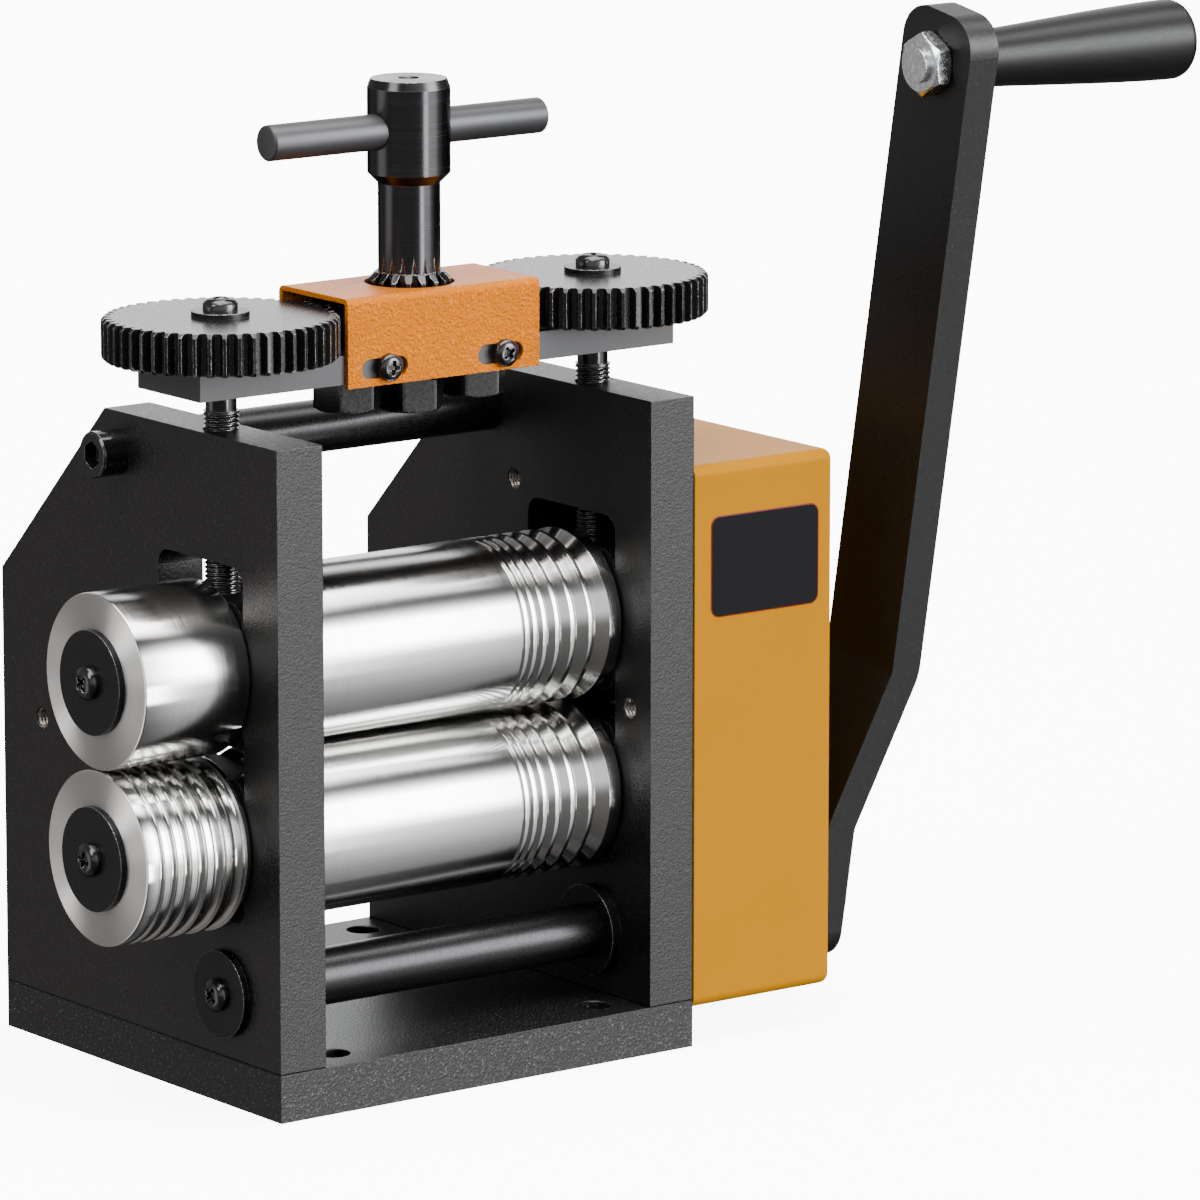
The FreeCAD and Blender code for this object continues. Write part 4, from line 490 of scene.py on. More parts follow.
def turns(count: int) -> np.ndarray:
    """Angles of a full turn as a column, the last one short of the first."""
    return np.linspace(0, 2 * np.pi, count, endpoint=False)[:, None]


def joined(angle: np.ndarray, *columns: float | np.ndarray) -> np.ndarray:
    """Set numbers, rows and grids side by side, with numbers and rows repeated for each step.

    Args:
        angle: Angles of the steps round the piece, as a column.
        columns: What stands side by side.

    Returns:
        The grid.
    """
    shaped = [np.atleast_2d(column) for column in columns]
    return np.concatenate([np.broadcast_to(column, (len(angle), column.shape[1]))
                           for column in shaped], axis=1)


def lathe(name: str, axis: Axis, centre: Point, profile: np.ndarray,
          finish: Finish, segments: int = 192,
          face_finish: Finish | None = None) -> Piece:
    """Turn a profile of (distance, radius) points about an axis.

    Point = centre + distance * axis + radius * (cos(angle) * across + sin(angle) * up).

    Args:
        name: Name of the piece.
        axis: Direction of the piece.
        centre: Point from which distances count.
        profile: Points shaped (n, 2).
        finish: Finish of the piece.
        segments: Number of steps round the axis.
        face_finish: Finish of the end faces, where it differs.

    Returns:
        The linked object.
    """
    grid = around(axis, centre, profile[None, :, 0], profile[None, :, 1], turns(segments))
    piece = surface(name, [grid], finish)
    if face_finish:
        piece.data.materials.append(face_finish.material())
        normals = np.empty(3 * len(piece.data.polygons))
        piece.data.polygons.foreach_get("normal", normals)
        is_end = np.abs(normals.reshape(-1, 3) @ np.array(axis.value[0], float)) > 0.95
        piece.data.polygons.foreach_set("material_index", is_end.astype(np.int32))
    return piece


def eased(corners: list[tuple[float, float]], radius: float = 0.25) -> np.ndarray:
    """Round the corners of a profile with three points each.

    Each corner point is replaced by a quadratic curve between the points `radius` before and
    after it, or a third of the shorter side where that is less.

    Args:
        corners: Profile points (distance, radius).
        radius: How far from its corner a rounding starts.

    Returns:
        The rounded profile.
    """
    points = [np.array(corners[0], float)]
    for before, corner, after in zip(corners, corners[1:], corners[2:]):
        a, b, c = (np.array(p, float) for p in (before, corner, after))
        room = min(np.linalg.norm(b - a), np.linalg.norm(c - b)) / 3
        reach = min(radius, room)
        start = b + (a - b) / max(np.linalg.norm(a - b), 1e-9) * reach
        end = b + (c - b) / max(np.linalg.norm(c - b), 1e-9) * reach
        points += [start, (start + 2 * b + end) / 4, end]
    points.append(np.array(corners[-1], float))
    return np.array(points)


def cross_head(axis: Axis, seat: Point, radius: float, height: float,
               turn_deg: float = 20.0) -> np.ndarray:
    """Grid of a pan head with a cross recess, on a seat point.

    Height at a share s of the radius is height * (1 - 0.06 s^2 - 0.42 s^5), less a cross-shaped
    pit whose arms are 0.3 radius wide at the middle, narrow outwards and slope up to their ends.

    Args:
        axis: Direction in which the head stands.
        seat: Centre of its underside.
        radius: Head radius.
        height: Head height.
        turn_deg: Turn of the cross.

    Returns:
        Points shaped (round, along, 3).
    """
    share = np.concatenate([np.linspace(0, 0.62, 26), np.linspace(0.66, 1.0, 12)])[None, :]
    angle = turns(96)
    r = radius * share
    turned = angle - math.radians(turn_deg)
    x, y = np.abs(r * np.cos(turned)), np.abs(r * np.sin(turned))
    arm, reach = 0.15 * radius, 0.56 * radius

    def pit(run: np.ndarray, side: np.ndarray) -> np.ndarray:
        """Depth share of one pair of arms, its walls a tenth of a millimetre wide."""
        wall = np.clip((arm * (1.15 - 0.35 * run / reach) - side) / 0.12 + 0.5, 0, 1)
        return wall * np.clip((reach - run) / (0.45 * reach), 0, 1)

    depth = np.maximum(pit(x, y), pit(y, x)) * height * 0.6
    top = height * (1 - 0.06 * share ** 2 - 0.42 * share ** 5) - depth
    return around(axis, seat, joined(angle, top, 0.0, 0.0), joined(angle, r, radius, 0.0), angle)


def hexagonal(axis: Axis, centre: Point, flats: float, start: float,
              end: float, turn_deg: float, tail: Pairs) -> np.ndarray:
    """Grid of a hexagonal head or nut with bevelled corners, then a round tail.

    Radius is the smaller of flats / 2 / cos(angle to the nearest flat) and a cone that starts at
    0.47 flats on each end face and opens by 1.73 mm for each millimetre inwards.

    Args:
        axis: Direction of the piece.
        centre: Point from which distances count.
        flats: Width across flats.
        start: Distance of the first face.
        end: Distance of the second face.
        turn_deg: Angle of a flat's middle.
        tail: (distance, radius) points that close the piece, after the second face.

    Returns:
        Points shaped (round, along, 3).
    """
    angle = turns(144) + math.radians(turn_deg)
    from_flat = (angle - math.radians(turn_deg) + np.pi / 6) % (np.pi / 3) - np.pi / 6
    hexagon = flats / 2 / np.cos(from_flat)
    inwards = np.array([0, 0.1, 0.25, 0.4, 0.55, 0.7, 0.85, 1.0, 1.2])
    distance = np.concatenate([start + inwards, end - inwards[::-1]])[None, :]
    cone = 0.47 * flats + 1.73 * np.concatenate([inwards, inwards[::-1]])[None, :]
    ends = np.array(tail)
    return around(axis, centre, joined(angle, start, distance, ends[:, 0]),
                  joined(angle, tail[-1][1], np.minimum(hexagon, cone), ends[:, 1]), angle)


def threaded(centre: Point, start: float, end: float, radius: float,
             pitch: float, tail: Pairs) -> np.ndarray:
    """Grid of an upright screw with a right-hand thread and a plain turned tail above it.

    Radius = thread radius - 0.58 * pitch * clip(1.15 - 1.3 * |2 f - 1|), where f is the fraction
    of height / pitch - angle / full turn; the groove fades out at both ends.

    Args:
        centre: Axis foot.
        start: Height of the thread's foot.
        end: Height of the thread's top.
        radius: Thread radius.
        pitch: Thread pitch.
        tail: (height, radius) points above the thread.

    Returns:
        Points shaped (round, along, 3).
    """
    angle = turns(48)
    height = np.linspace(start, end, int((end - start) / pitch * 8) + 1)[None, :]
    phase = (height / pitch - angle / (2 * np.pi)) % 1.0
    depth = 0.58 * pitch * np.clip(1.15 - 1.3 * np.abs(2 * phase - 1), 0, 1)
    fade = np.clip(np.minimum(height - start, end - height) / (0.8 * pitch), 0, 1)
    ends = np.array(tail)
    return around(Axis.Z, centre, joined(angle, start, height, ends[:, 0]),
                  joined(angle, 0.0, radius - depth * fade, ends[:, 1]), angle)


def tapped(centre: Point, start: float, end: float, radius: float,
           pitch: float) -> np.ndarray:
    """Grid of the thread in a tapped hole along X, with its outer wall sunk in the plate.

    Radius = hole radius - 0.03 - 0.55 * pitch * clip(1 - 1.5 * |2 f - 1|), where f is the
    fraction of distance / pitch + angle / full turn; the ridge fades out at both ends.

    Args:
        centre: Point of the hole's axis.
        start: Where the thread begins along X.
        end: Where the thread ends along X.
        radius: Hole radius.
        pitch: Thread pitch.

    Returns:
        Points shaped (round, along, 3).
    """
    angle = turns(48)
    run = np.linspace(start, end, int((end - start) / pitch * 8) + 1)[None, :]
    phase = (run / pitch + angle / (2 * np.pi)) % 1.0
    fade = np.clip(np.minimum(run - start, end - run) / (0.6 * pitch), 0, 1)
    ridge = 0.55 * pitch * np.clip(1 - 1.5 * np.abs(2 * phase - 1), 0, 1) * fade
    wall = radius + 0.5
    return around(Axis.X, centre, joined(angle, start, run, end, start),
                  joined(angle, wall, radius - 0.03 - ridge, wall, wall), angle)


def round_cornered(centre: Point, half_x: float, half_z: float,
                   corner: float, rise: float) -> np.ndarray:
    """Grid of a thin plate with round corners on an upright face that looks to the front.

    Outline = corner centres + corner * (cos, sin); each quarter of the turn takes one corner.

    Args:
        centre: Middle of its back.
        half_x: Half of its width.
        half_z: Half of its height.
        corner: Corner radius.
        rise: Thickness.

    Returns:
        Points shaped (round, along, 3).
    """
    angle = turns(96)
    sign_x, sign_z = np.sign(np.cos(angle + 1e-6)), np.sign(np.sin(angle + 1e-6))
    inset = np.array([0, 0, 0.12, 1.5, 1e3])[None, :]
    depth = np.array([0, 0.7 * rise, rise, rise, rise])[None, :]
    size = np.maximum(corner - inset, 0)
    reach_x = np.maximum(half_x - corner - np.maximum(inset - corner, 0), 0)
    reach_z = np.maximum(half_z - corner - np.maximum(inset - corner, 0), 0)
    x = sign_x * reach_x + size * np.cos(angle)
    z = sign_z * reach_z + size * np.sin(angle)
    outline = (joined(angle, 0.0, x), -joined(angle, 0.0, depth), joined(angle, 0.0, z))
    return np.array(centre, float) + np.stack(outline, axis=-1)


def smooth_through(knots: list[tuple[float, float]], count: int) -> np.ndarray:
    """Points on a curve through knots whose slope never overshoots them.

    Each stretch is a cubic Hermite curve whose end slopes are the harmonic means of the slopes
    beside each knot.

    Args:
        knots: (distance, radius) in order.
        count: Points for each stretch.

    Returns:
        The curve's points.
    """
    at, value = np.array(knots, float).T
    slope = np.diff(value) / np.diff(at)
    inner = np.where(slope[:-1] * slope[1:] > 0,
                     2 * slope[:-1] * slope[1:] / np.where(slope[:-1] + slope[1:] == 0, 1,
                                                           slope[:-1] + slope[1:]), 0)
    ends = np.concatenate([[slope[0]], inner, [slope[-1]]])
    t = np.linspace(0, 1, count, endpoint=False)[None, :]
    width = np.diff(at)[:, None]
    low, high = value[:-1, None], value[1:, None]
    leave, come = ends[:-1, None] * width, ends[1:, None] * width
    curve = (low * (2 * t ** 3 - 3 * t ** 2 + 1) + leave * (t ** 3 - 2 * t ** 2 + t)
             + high * (3 * t ** 2 - 2 * t ** 3) + come * (t ** 3 - t ** 2))
    along = at[:-1, None] + t * width
    return np.append(np.stack([along.ravel(), curve.ravel()], axis=1), [knots[-1]], axis=0)


# Sub-assemblies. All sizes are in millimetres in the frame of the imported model.


Parts = tuple[tuple[Finish, str], ...]


@dataclass
class Assembly:
    """A part of the mill that dresses its own solids and may add surfaces."""

    nodes: dict[str, Piece]
    parts: Parts = ()

    def add_surfaces(self) -> None:
        """Build the surfaces that need more than the solids give."""

    def build(self) -> None:
        """Dress the solids, then add the surfaces."""
        for finish, names in self.parts:
            for name in names.split():
                dress(self.nodes[name], finish)
                LOG.info("dressed %s as %s", name, finish.name)
        self.add_surfaces()

    @staticmethod
    def stands_for(piece: Piece, body: str, *names: str) -> None:
        """Let a piece ride on a body.

        Args:
            piece: The piece.
            body: The body that carries it.
            names: Solids in whose place it stands.
        """
        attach(piece, body)
        if names:
            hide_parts(*names)


class Head(Enum):
    """Pan head by its radius and height."""

    ROLL_END = (4.7, 2.9)
    GEAR = (4.8, 3.6)
    COVER = (3.8, 2.6)


@dataclass(frozen=True)
class PanHead:
    """Visible screw heads: where they sit and how large they are."""

    piece: str
    body: str
    axis: Axis
    seats: tuple[Point, ...]
    head: Head
    turn_deg: float

    def build(self) -> None:
        """Build the heads, each turned 37 degrees on, and let them stand for the screws."""
        grids = [cross_head(self.axis, seat, *self.head.value, self.turn_deg + 37 * count)
                 for count, seat in enumerate(self.seats)]
        head = surface(self.piece + "_head", grids, BLACK_ZINC, crease_deg=50)
        Assembly.stands_for(head, self.body, self.piece)


@dataclass
class Stand(Assembly):
    """Base plate, side plates, tie bar, bearing blocks and springs."""

    parts: Parts = (
        (BASE_POWDER, "base_plate"),
        (BLACK_POWDER, "left_side_plate right_side_plate"),
        (BLACK_ZINC, "foot_screws tie_bar_screws"),
        (BLACK_BAR, "tie_bar crank_shaft_bushes"),
        (BLOCK_OXIDE, "lower_left_bearing_block lower_right_bearing_block"),
        (BLOCK_OXIDE, "upper_left_bearing_block upper_right_bearing_block"),
        (BRONZE, "lower_roll_bushes upper_roll_bushes"),
        (SPRING_WIRE, "lift_springs"),
    )
    left_threads: tuple[float, float] = (-70.3, -56.0)
    right_threads: tuple[float, float] = (56.0, 62.3)
    hole_radius: float = 3.0
    pitch: float = 1.0

    def add_surfaces(self) -> None:
        """Cut the threads of the tapped holes, of which the left plate has the last."""
        grids = [tapped((0.0, y, z), *reach, self.hole_radius, self.pitch)
                 for reach, holes in ((self.left_threads, TAPPED_HOLES[2:]),
                                      (self.right_threads, TAPPED_HOLES))
                 for y, z in holes]
        self.stands_for(surface("tapped_hole_threads", grids, TAPPED_STEEL, 40), "frame")


@dataclass
class Rolls(Assembly):
    """Both rolls with their side rolls, end screws, gears and keys."""

    parts: Parts = (
        (GROUND_STEEL, "lower_roll upper_roll lower_side_roll upper_side_roll"),
        (SPRING_WIRE, "lower_roll_keys upper_roll_keys"),
        (BLACK_BAR, "lower_side_washer upper_side_washer"),
        (BLACK_ZINC, "lower_side_screw upper_side_screw"),
        (BLACK_BAR, "lower_retaining_ring upper_retaining_ring"),
        (BLACK_OXIDE, "lower_roll_gear upper_roll_gear reduction_gear"),
    )
    radius: float = 24.4
    bevel: float = 0.5
    easing: float = 0.09
    barrel: float = 110.75
    flat: float = 76.0
    land: float = 1.3
    vees: tuple[float, ...] = (1.0, 1.5, 2.0, 3.0, 4.0, 5.0, 6.0)
    journal_radius: float = 12.5
    journal_end: float = 72.125
    left_radius: float = 9.0
    left_end: float = 104.525
    right_radius: float = 10.0
    past_gears: float = 3.2
    halves: tuple[float, ...] = (2.0, 2.5, 3.0, 3.5, 4.5, 5.0)
    side_start: float = 70.925
    side_end: float = 105.025
    side_margin: float = 3.8
    side_land: float = 1.65
    side_bore: float = 9.05
    washer: float = 2.0
    lower_z: float = 72.2
    upper_z: float = 121.2
    lower_gears_end: float = 107.625
    upper_gears_end: float = 90.125

    def roll_profile(self, gears_end: float) -> np.ndarray:
        """Profile of a roll with its square wire grooves, journals and shaft ends.

        Args:
            gears_end: Where the gears on its shaft end.

        Returns:
            (distance, radius) points.
        """
        half, radius, journal = self.barrel / 2, self.radius, self.journal_radius
        corners = [(-self.left_end, 0), (-self.left_end, self.left_radius),
                   (-self.side_start, self.left_radius), (-self.side_start, journal),
                   (-half, journal), (-half, radius - self.bevel), (-half + self.bevel, radius)]
        edge = self.flat - half
        for width in self.vees:
            corners += [(edge, radius), (edge + width / 2, radius - width / 2),
                        (edge + width, radius)]
            edge += width + self.land
        end = gears_end + self.past_gears
        corners += [(half - self.bevel, radius), (half, radius - self.bevel), (half, journal),
                    (self.journal_end, journal), (self.journal_end, self.right_radius),
                    (end, self.right_radius), (end, 0)]
        return eased(corners, self.easing)

    def side_profile(self, halves: tuple[float, ...]) -> np.ndarray:
        """Profile of a side roll: half circles of the given widths cut into its surface.

        Args:
            halves: Widths of the half circles.

        Returns:
            (distance, radius) points.
        """
        radius, start, end, bevel = self.radius, self.side_start, self.side_end, self.bevel
        eased_by = 0.3 * bevel
        points = [np.array([[-end, self.side_bore], [-end, radius - bevel],
                            [-end + eased_by, radius - eased_by], [-end + bevel, radius]])]
        edge = -end + self.side_margin
        turn = np.linspace(0, np.pi, 17)
        for width in halves:
            points.append(np.stack([edge + width / 2 * (1 - np.cos(turn)),
                                    radius - width / 2 * np.sin(turn)], axis=1))
            edge += width + self.side_land
        points.append(np.array([[-start - bevel, radius], [-start - eased_by, radius - eased_by],
                                [-start, radius - bevel], [-start, self.side_bore],
                                [-end, self.side_bore]]))
        return np.concatenate(points)

    def add_surfaces(self) -> None:
        """Turn the rolls finely enough to mirror the studio, and add the end screws' heads."""
        for level, z, gears_end, halves in (
                ("lower", self.lower_z, self.lower_gears_end, self.halves),
                ("upper", self.upper_z, self.upper_gears_end, ())):
            body, centre = level + "_roll_set", (0.0, ROLL_Y, z)
            steel = replace(GROUND_STEEL, name=level + "_ground_roll_steel", ring_centre=centre)
            roll = lathe(level + "_roll_turned", Axis.X, centre, self.roll_profile(gears_end),
                         steel, 256)
            self.stands_for(roll, body, level + "_roll")
            face = replace(TURNED_FACE, name=level + "_turned_steel_face", ring_centre=centre)
            side = lathe(level + "_side_roll_turned", Axis.X, centre, self.side_profile(halves),
                         steel, 256, face)
            self.stands_for(side, body, level + "_side_roll")
            PanHead(level + "_side_screw", body, Axis.MINUS_X,
                    ((-self.side_end - self.washer, ROLL_Y, z),), Head.ROLL_END, 8 + z).build()


@dataclass
class Crank(Assembly):
    """Crank shaft, arm, grip and their fastenings."""

    parts: Parts = (
        (BLACK_BAR, "crank_shaft crank_shaft_washer"),
        (BLACK_ZINC, "crank_shaft_screw crank_arm_screw"),
        (ARM_ENAMEL, "crank_arm"),
        (GRIP_PLASTIC, "grip"),
        (BRIGHT_ZINC, "grip_bolt grip_nut"),
    )
    grip_start: float = 152.175
    grip_y: float = -85.41701
    grip_z: float = 275.48051
    # The swelling curve: distance from the grip's start and radius.
    grip_radii: Pairs = (
        (0.0, 7.0), (0.5, 7.6), (14.0, 8.45), (22.0, 8.93), (30.0, 9.43), (38.0, 9.89),
        (46.0, 10.37), (54.0, 10.77), (62.0, 11.12), (70.0, 11.39), (75.0, 11.45), (76.7, 11.0),
        (77.7, 9.6))
    grip_bore: float = 5.04
    socket_radius: float = 7.75
    socket_depth: float = 8.0
    nut_start: float = 135.975
    nut_end: float = 141.475
    nut_flats: float = 16.0
    nut_bore: float = 5.05
    screw_seat: Point = (-72.925, -41.5, 31.4)

    def add_surfaces(self) -> None:
        """Add the grip's swelling curve, the bevelled nut and the shaft's end screw."""
        start, end = self.grip_start, self.grip_start + self.grip_radii[-1][0]
        outer = smooth_through([(start + at, radius) for at, radius in self.grip_radii], 6)
        floor = end - self.socket_depth
        hollow = [(end, self.socket_radius), (floor, self.socket_radius), (floor, self.grip_bore),
                  (start, self.grip_bore), (start, self.grip_radii[0][1])]
        centre = (0.0, self.grip_y, self.grip_z)
        grip = lathe("grip_moulded", Axis.X, centre, np.concatenate([outer, hollow]),
                     GRIP_PLASTIC, 96)
        self.stands_for(grip, "grip_sleeve", "grip")
        nut = surface(
            "grip_nut_bevelled",
            [hexagonal(Axis.X, centre, self.nut_flats, self.nut_start, self.nut_end, 0,
                       ((self.nut_end, self.nut_bore), (self.nut_start, self.nut_bore)))],
            BRIGHT_ZINC)
        self.stands_for(nut, "crank", "grip_nut")
        PanHead("crank_shaft_screw", "crank", Axis.MINUS_X, (self.screw_seat,), Head.ROLL_END,
                55).build()


@dataclass
class Cover(Assembly):
    """Folded gear cover with its posts, screws and bare label plate."""

    parts: Parts = (
        (ORANGE_SMOOTH, "gear_cover"),
        (BLACK_BAR, "cover_posts"),
        (BLACK_ZINC, "cover_screws"),
    )
    front: float = -68.5
    side: float = 120.425
    label_low: tuple[float, float] = (76.3, 122.6)
    label_high: tuple[float, float] = (114.6, 151.5)
    label_corner: float = 3.0

    def add_surfaces(self) -> None:
        """Add the screw heads, and the plate on the thin line that shows round it."""
        PanHead("cover_screws", "frame", Axis.X,
                tuple((self.side, y, z) for y, z in TAPPED_HOLES), Head.COVER, 30.0).build()
        (left, low), (right, high) = self.label_low, self.label_high
        centre = ((left + right) / 2, self.front, (low + high) / 2)
        half_x, half_z = (right - left) / 2, (high - low) / 2
        for name, shrink, rise, finish in (
                ("label_edge", 0.0, 0.14, LABEL_RED), ("label_plate", 0.4, 0.3, LABEL_GREY)):
            plate = surface(name, [round_cornered(centre, half_x - shrink, half_z - shrink,
                                                  self.label_corner - shrink, rise)], finish)
            self.stands_for(plate, "frame")


@dataclass
class Bridge(Assembly):
    """Bar over the plates with the guard, its screws and the idler bolts."""

    parts: Parts = (
        (GREY_PAINT, "bridge_bar"),
        (BLACK_OXIDE, "idler_bolts"),
        (BLACK_ZINC, "guard_screws"),
        (ORANGE_WRINKLE, "gear_guard"),
    )
    bar_low: float = 197.2
    screw_rise: float = 3.7
    screw_x: tuple[float, float] = (-18.8, 20.4)
    guard_front: float = -47.4
    guard_back: float = -14.6
    bolt_x: float = 21.25
    bolt_flats: float = 17.0
    bolt_head: float = 10.0
    bolt_turn_deg: float = 13.0
    shank_radius: float = 4.0
    shank_top: float = 217.35

    def add_surfaces(self) -> None:
        """Add the guard's screw heads and the hexagon bolts."""
        low, z = self.bar_low, self.bar_low + self.screw_rise
        grids = [cross_head(axis, (x, y, z), *Head.COVER.value, 12 + x)
                 for axis, y in ((Axis.MINUS_Y, self.guard_front), (Axis.Y, self.guard_back))
                 for x in self.screw_x]
        heads = surface("guard_screws_head", grids, BLACK_ZINC, crease_deg=50)
        self.stands_for(heads, "bridge", "guard_screws")
        shank = ((low, self.shank_radius), (self.shank_top, self.shank_radius),
                 (self.shank_top, 0.0))
        bolts = surface(
            "idler_bolts_bevelled",
            [hexagonal(Axis.Z, (x, ROLL_Y, 0.0), self.bolt_flats, low - self.bolt_head, low,
                       self.bolt_turn_deg, shank)
             for x in (-self.bolt_x, self.bolt_x)],
            BLACK_OXIDE)
        self.stands_for(bolts, "bridge", "idler_bolts")


@dataclass
class Adjustment(Assembly):
    """Spindle with its cross bar, pinions, screw gears and pressure screws."""

    parts: Parts = (
        (TURNED_SPINDLE, "spindle"),
        (DRAWN_BAR, "cross_bar"),
        (BLACK_OXIDE, "spindle_nut left_idler_pinion right_idler_pinion"),
        (BLACK_OXIDE, "left_screw_gear right_screw_gear"),
        (BLACK_BAR, "left_pressure_screw right_pressure_screw"),
        (BLACK_BAR, "left_gear_washer right_gear_washer"),
        (BLACK_ZINC, "spindle_washer left_gear_screw right_gear_screw"),
    )
    screw_x: float = 63.125
    thread_low: float = 141.3
    thread_high: float = 191.5
    thread_radius: float = 5.0
    pitch: float = 1.25
    # The screw above its thread: height and radius.
    neck: Pairs = ((191.5, 4.3), (196.3, 4.3), (196.3, 6.3), (197.1, 6.3), (197.1, 4.5),
                   (205.3, 4.5), (205.3, 4.0), (216.9, 4.0), (216.9, 0.0))
    head_seat: float = 218.9
    left_turn_deg: float = 15.0
    right_turn_deg: float = 62.0
    nut_low: float = 185.1
    nut_high: float = 195.1
    nut_flats: float = 17.0
    nut_bore: float = 5.05
    nut_turn_deg: float = 13.0
    bar_start: float = -47.7
    bar_end: float = 44.6
    bar_z: float = 263.1
    bar_radius: float = 5.0
    bar_bevel: float = 0.5
    bar_easing: float = 0.3

    def add_surfaces(self) -> None:
        """Add the threads, the gear screws' heads, the bevelled nut and the smooth cross bar."""
        for side, x, turn_deg in (("left", -self.screw_x, self.left_turn_deg),
                                  ("right", self.screw_x, self.right_turn_deg)):
            screw = surface(side + "_pressure_screw_thread",
                            [threaded((x, ROLL_Y, 0.0), self.thread_low, self.thread_high,
                                      self.thread_radius, self.pitch, self.neck)],
                            BLACK_ZINC, crease_deg=50)
            self.stands_for(screw, side + "_screw", side + "_pressure_screw")
            PanHead(side + "_gear_screw", side + "_screw", Axis.Z,
                    ((x, ROLL_Y, self.head_seat),), Head.GEAR, turn_deg).build()
        nut = surface(
            "spindle_nut_bevelled",
            [hexagonal(Axis.Z, (0.0, ROLL_Y, 0.0), self.nut_flats, self.nut_low, self.nut_high,
                       self.nut_turn_deg,
                       ((self.nut_high, self.nut_bore), (self.nut_low, self.nut_bore)))],
            BLACK_OXIDE)
        self.stands_for(nut, "handle", "spindle_nut")
        start, end, radius, bevel = self.bar_start, self.bar_end, self.bar_radius, self.bar_bevel
        bar = lathe("cross_bar_turned", Axis.X, (0.0, ROLL_Y, self.bar_z),
                    eased([(start, 0), (start, radius - bevel), (start + bevel, radius),
                           (end - bevel, radius), (end, radius - bevel), (end, 0)],
                          self.bar_easing),
                    DRAWN_BAR, 128)
        self.stands_for(bar, "handle", "cross_bar")


# Studio


@dataclass(frozen=True)
class Softbox:
    """A soft studio lamp: its place and size in metres, and its power in watts."""

    name: str
    place: Point
    aim: Point
    width: float
    height: float
    watts: float

    def build(self) -> None:
        """Hang the lamp and turn it to its aim."""
        lamp = bpy.data.lights.new(self.name, "AREA")
        lamp.shape = "RECTANGLE"
        lamp.size, lamp.size_y, lamp.energy = self.width, self.height, self.watts
        stand = bpy.data.objects.new(self.name, lamp)
        stand.location = self.place
        look = Vector(self.aim) - Vector(self.place)
        stand.rotation_euler = look.to_track_quat("-Z", "Y").to_euler()
        bpy.context.scene.collection.objects.link(stand)


@dataclass(frozen=True)
class Strip:
    """A soft-edged light in the surroundings, by the lowest and highest direction it fills."""

    low: Point
    high: Point
    brightness: float
    soft: float = 0.05

    def build(self, tree: Tree, place: Node) -> Node:
        """Add its brightness: how far a direction lies inside, over the soft edge.

        Args:
            tree: Tree that takes the nodes.
            place: Node that gives the direction as Generated.

        Returns:
            The node whose value is the brightness.
        """
        above = add(tree, "VectorMath", {"operation": "SUBTRACT", 1: self.low},
                    {0: (place, "Generated")})
        below = add(tree, "VectorMath", {"operation": "SUBTRACT", 0: self.high},
                    {1: (place, "Generated")})
        inside = add(tree, "VectorMath", {"operation": "MINIMUM"},
                     {0: (above, "Vector"), 1: (below, "Vector")})
        parts = add(tree, "SeparateXYZ", links={0: (inside, "Vector")})
        least = add(tree, "Math", {"operation": "MINIMUM"},
                    {0: (parts, "X"), 1: (parts, "Y")})
        least = add(tree, "Math", {"operation": "MINIMUM"},
                    {0: (least, 0), 1: (parts, "Z")})
        return add(tree, "MapRange",
                   {"interpolation_type": "SMOOTHSTEP", 1: -self.soft, 2: self.soft, 3: 0.0,
                    4: self.brightness}, {0: (least, 0)})


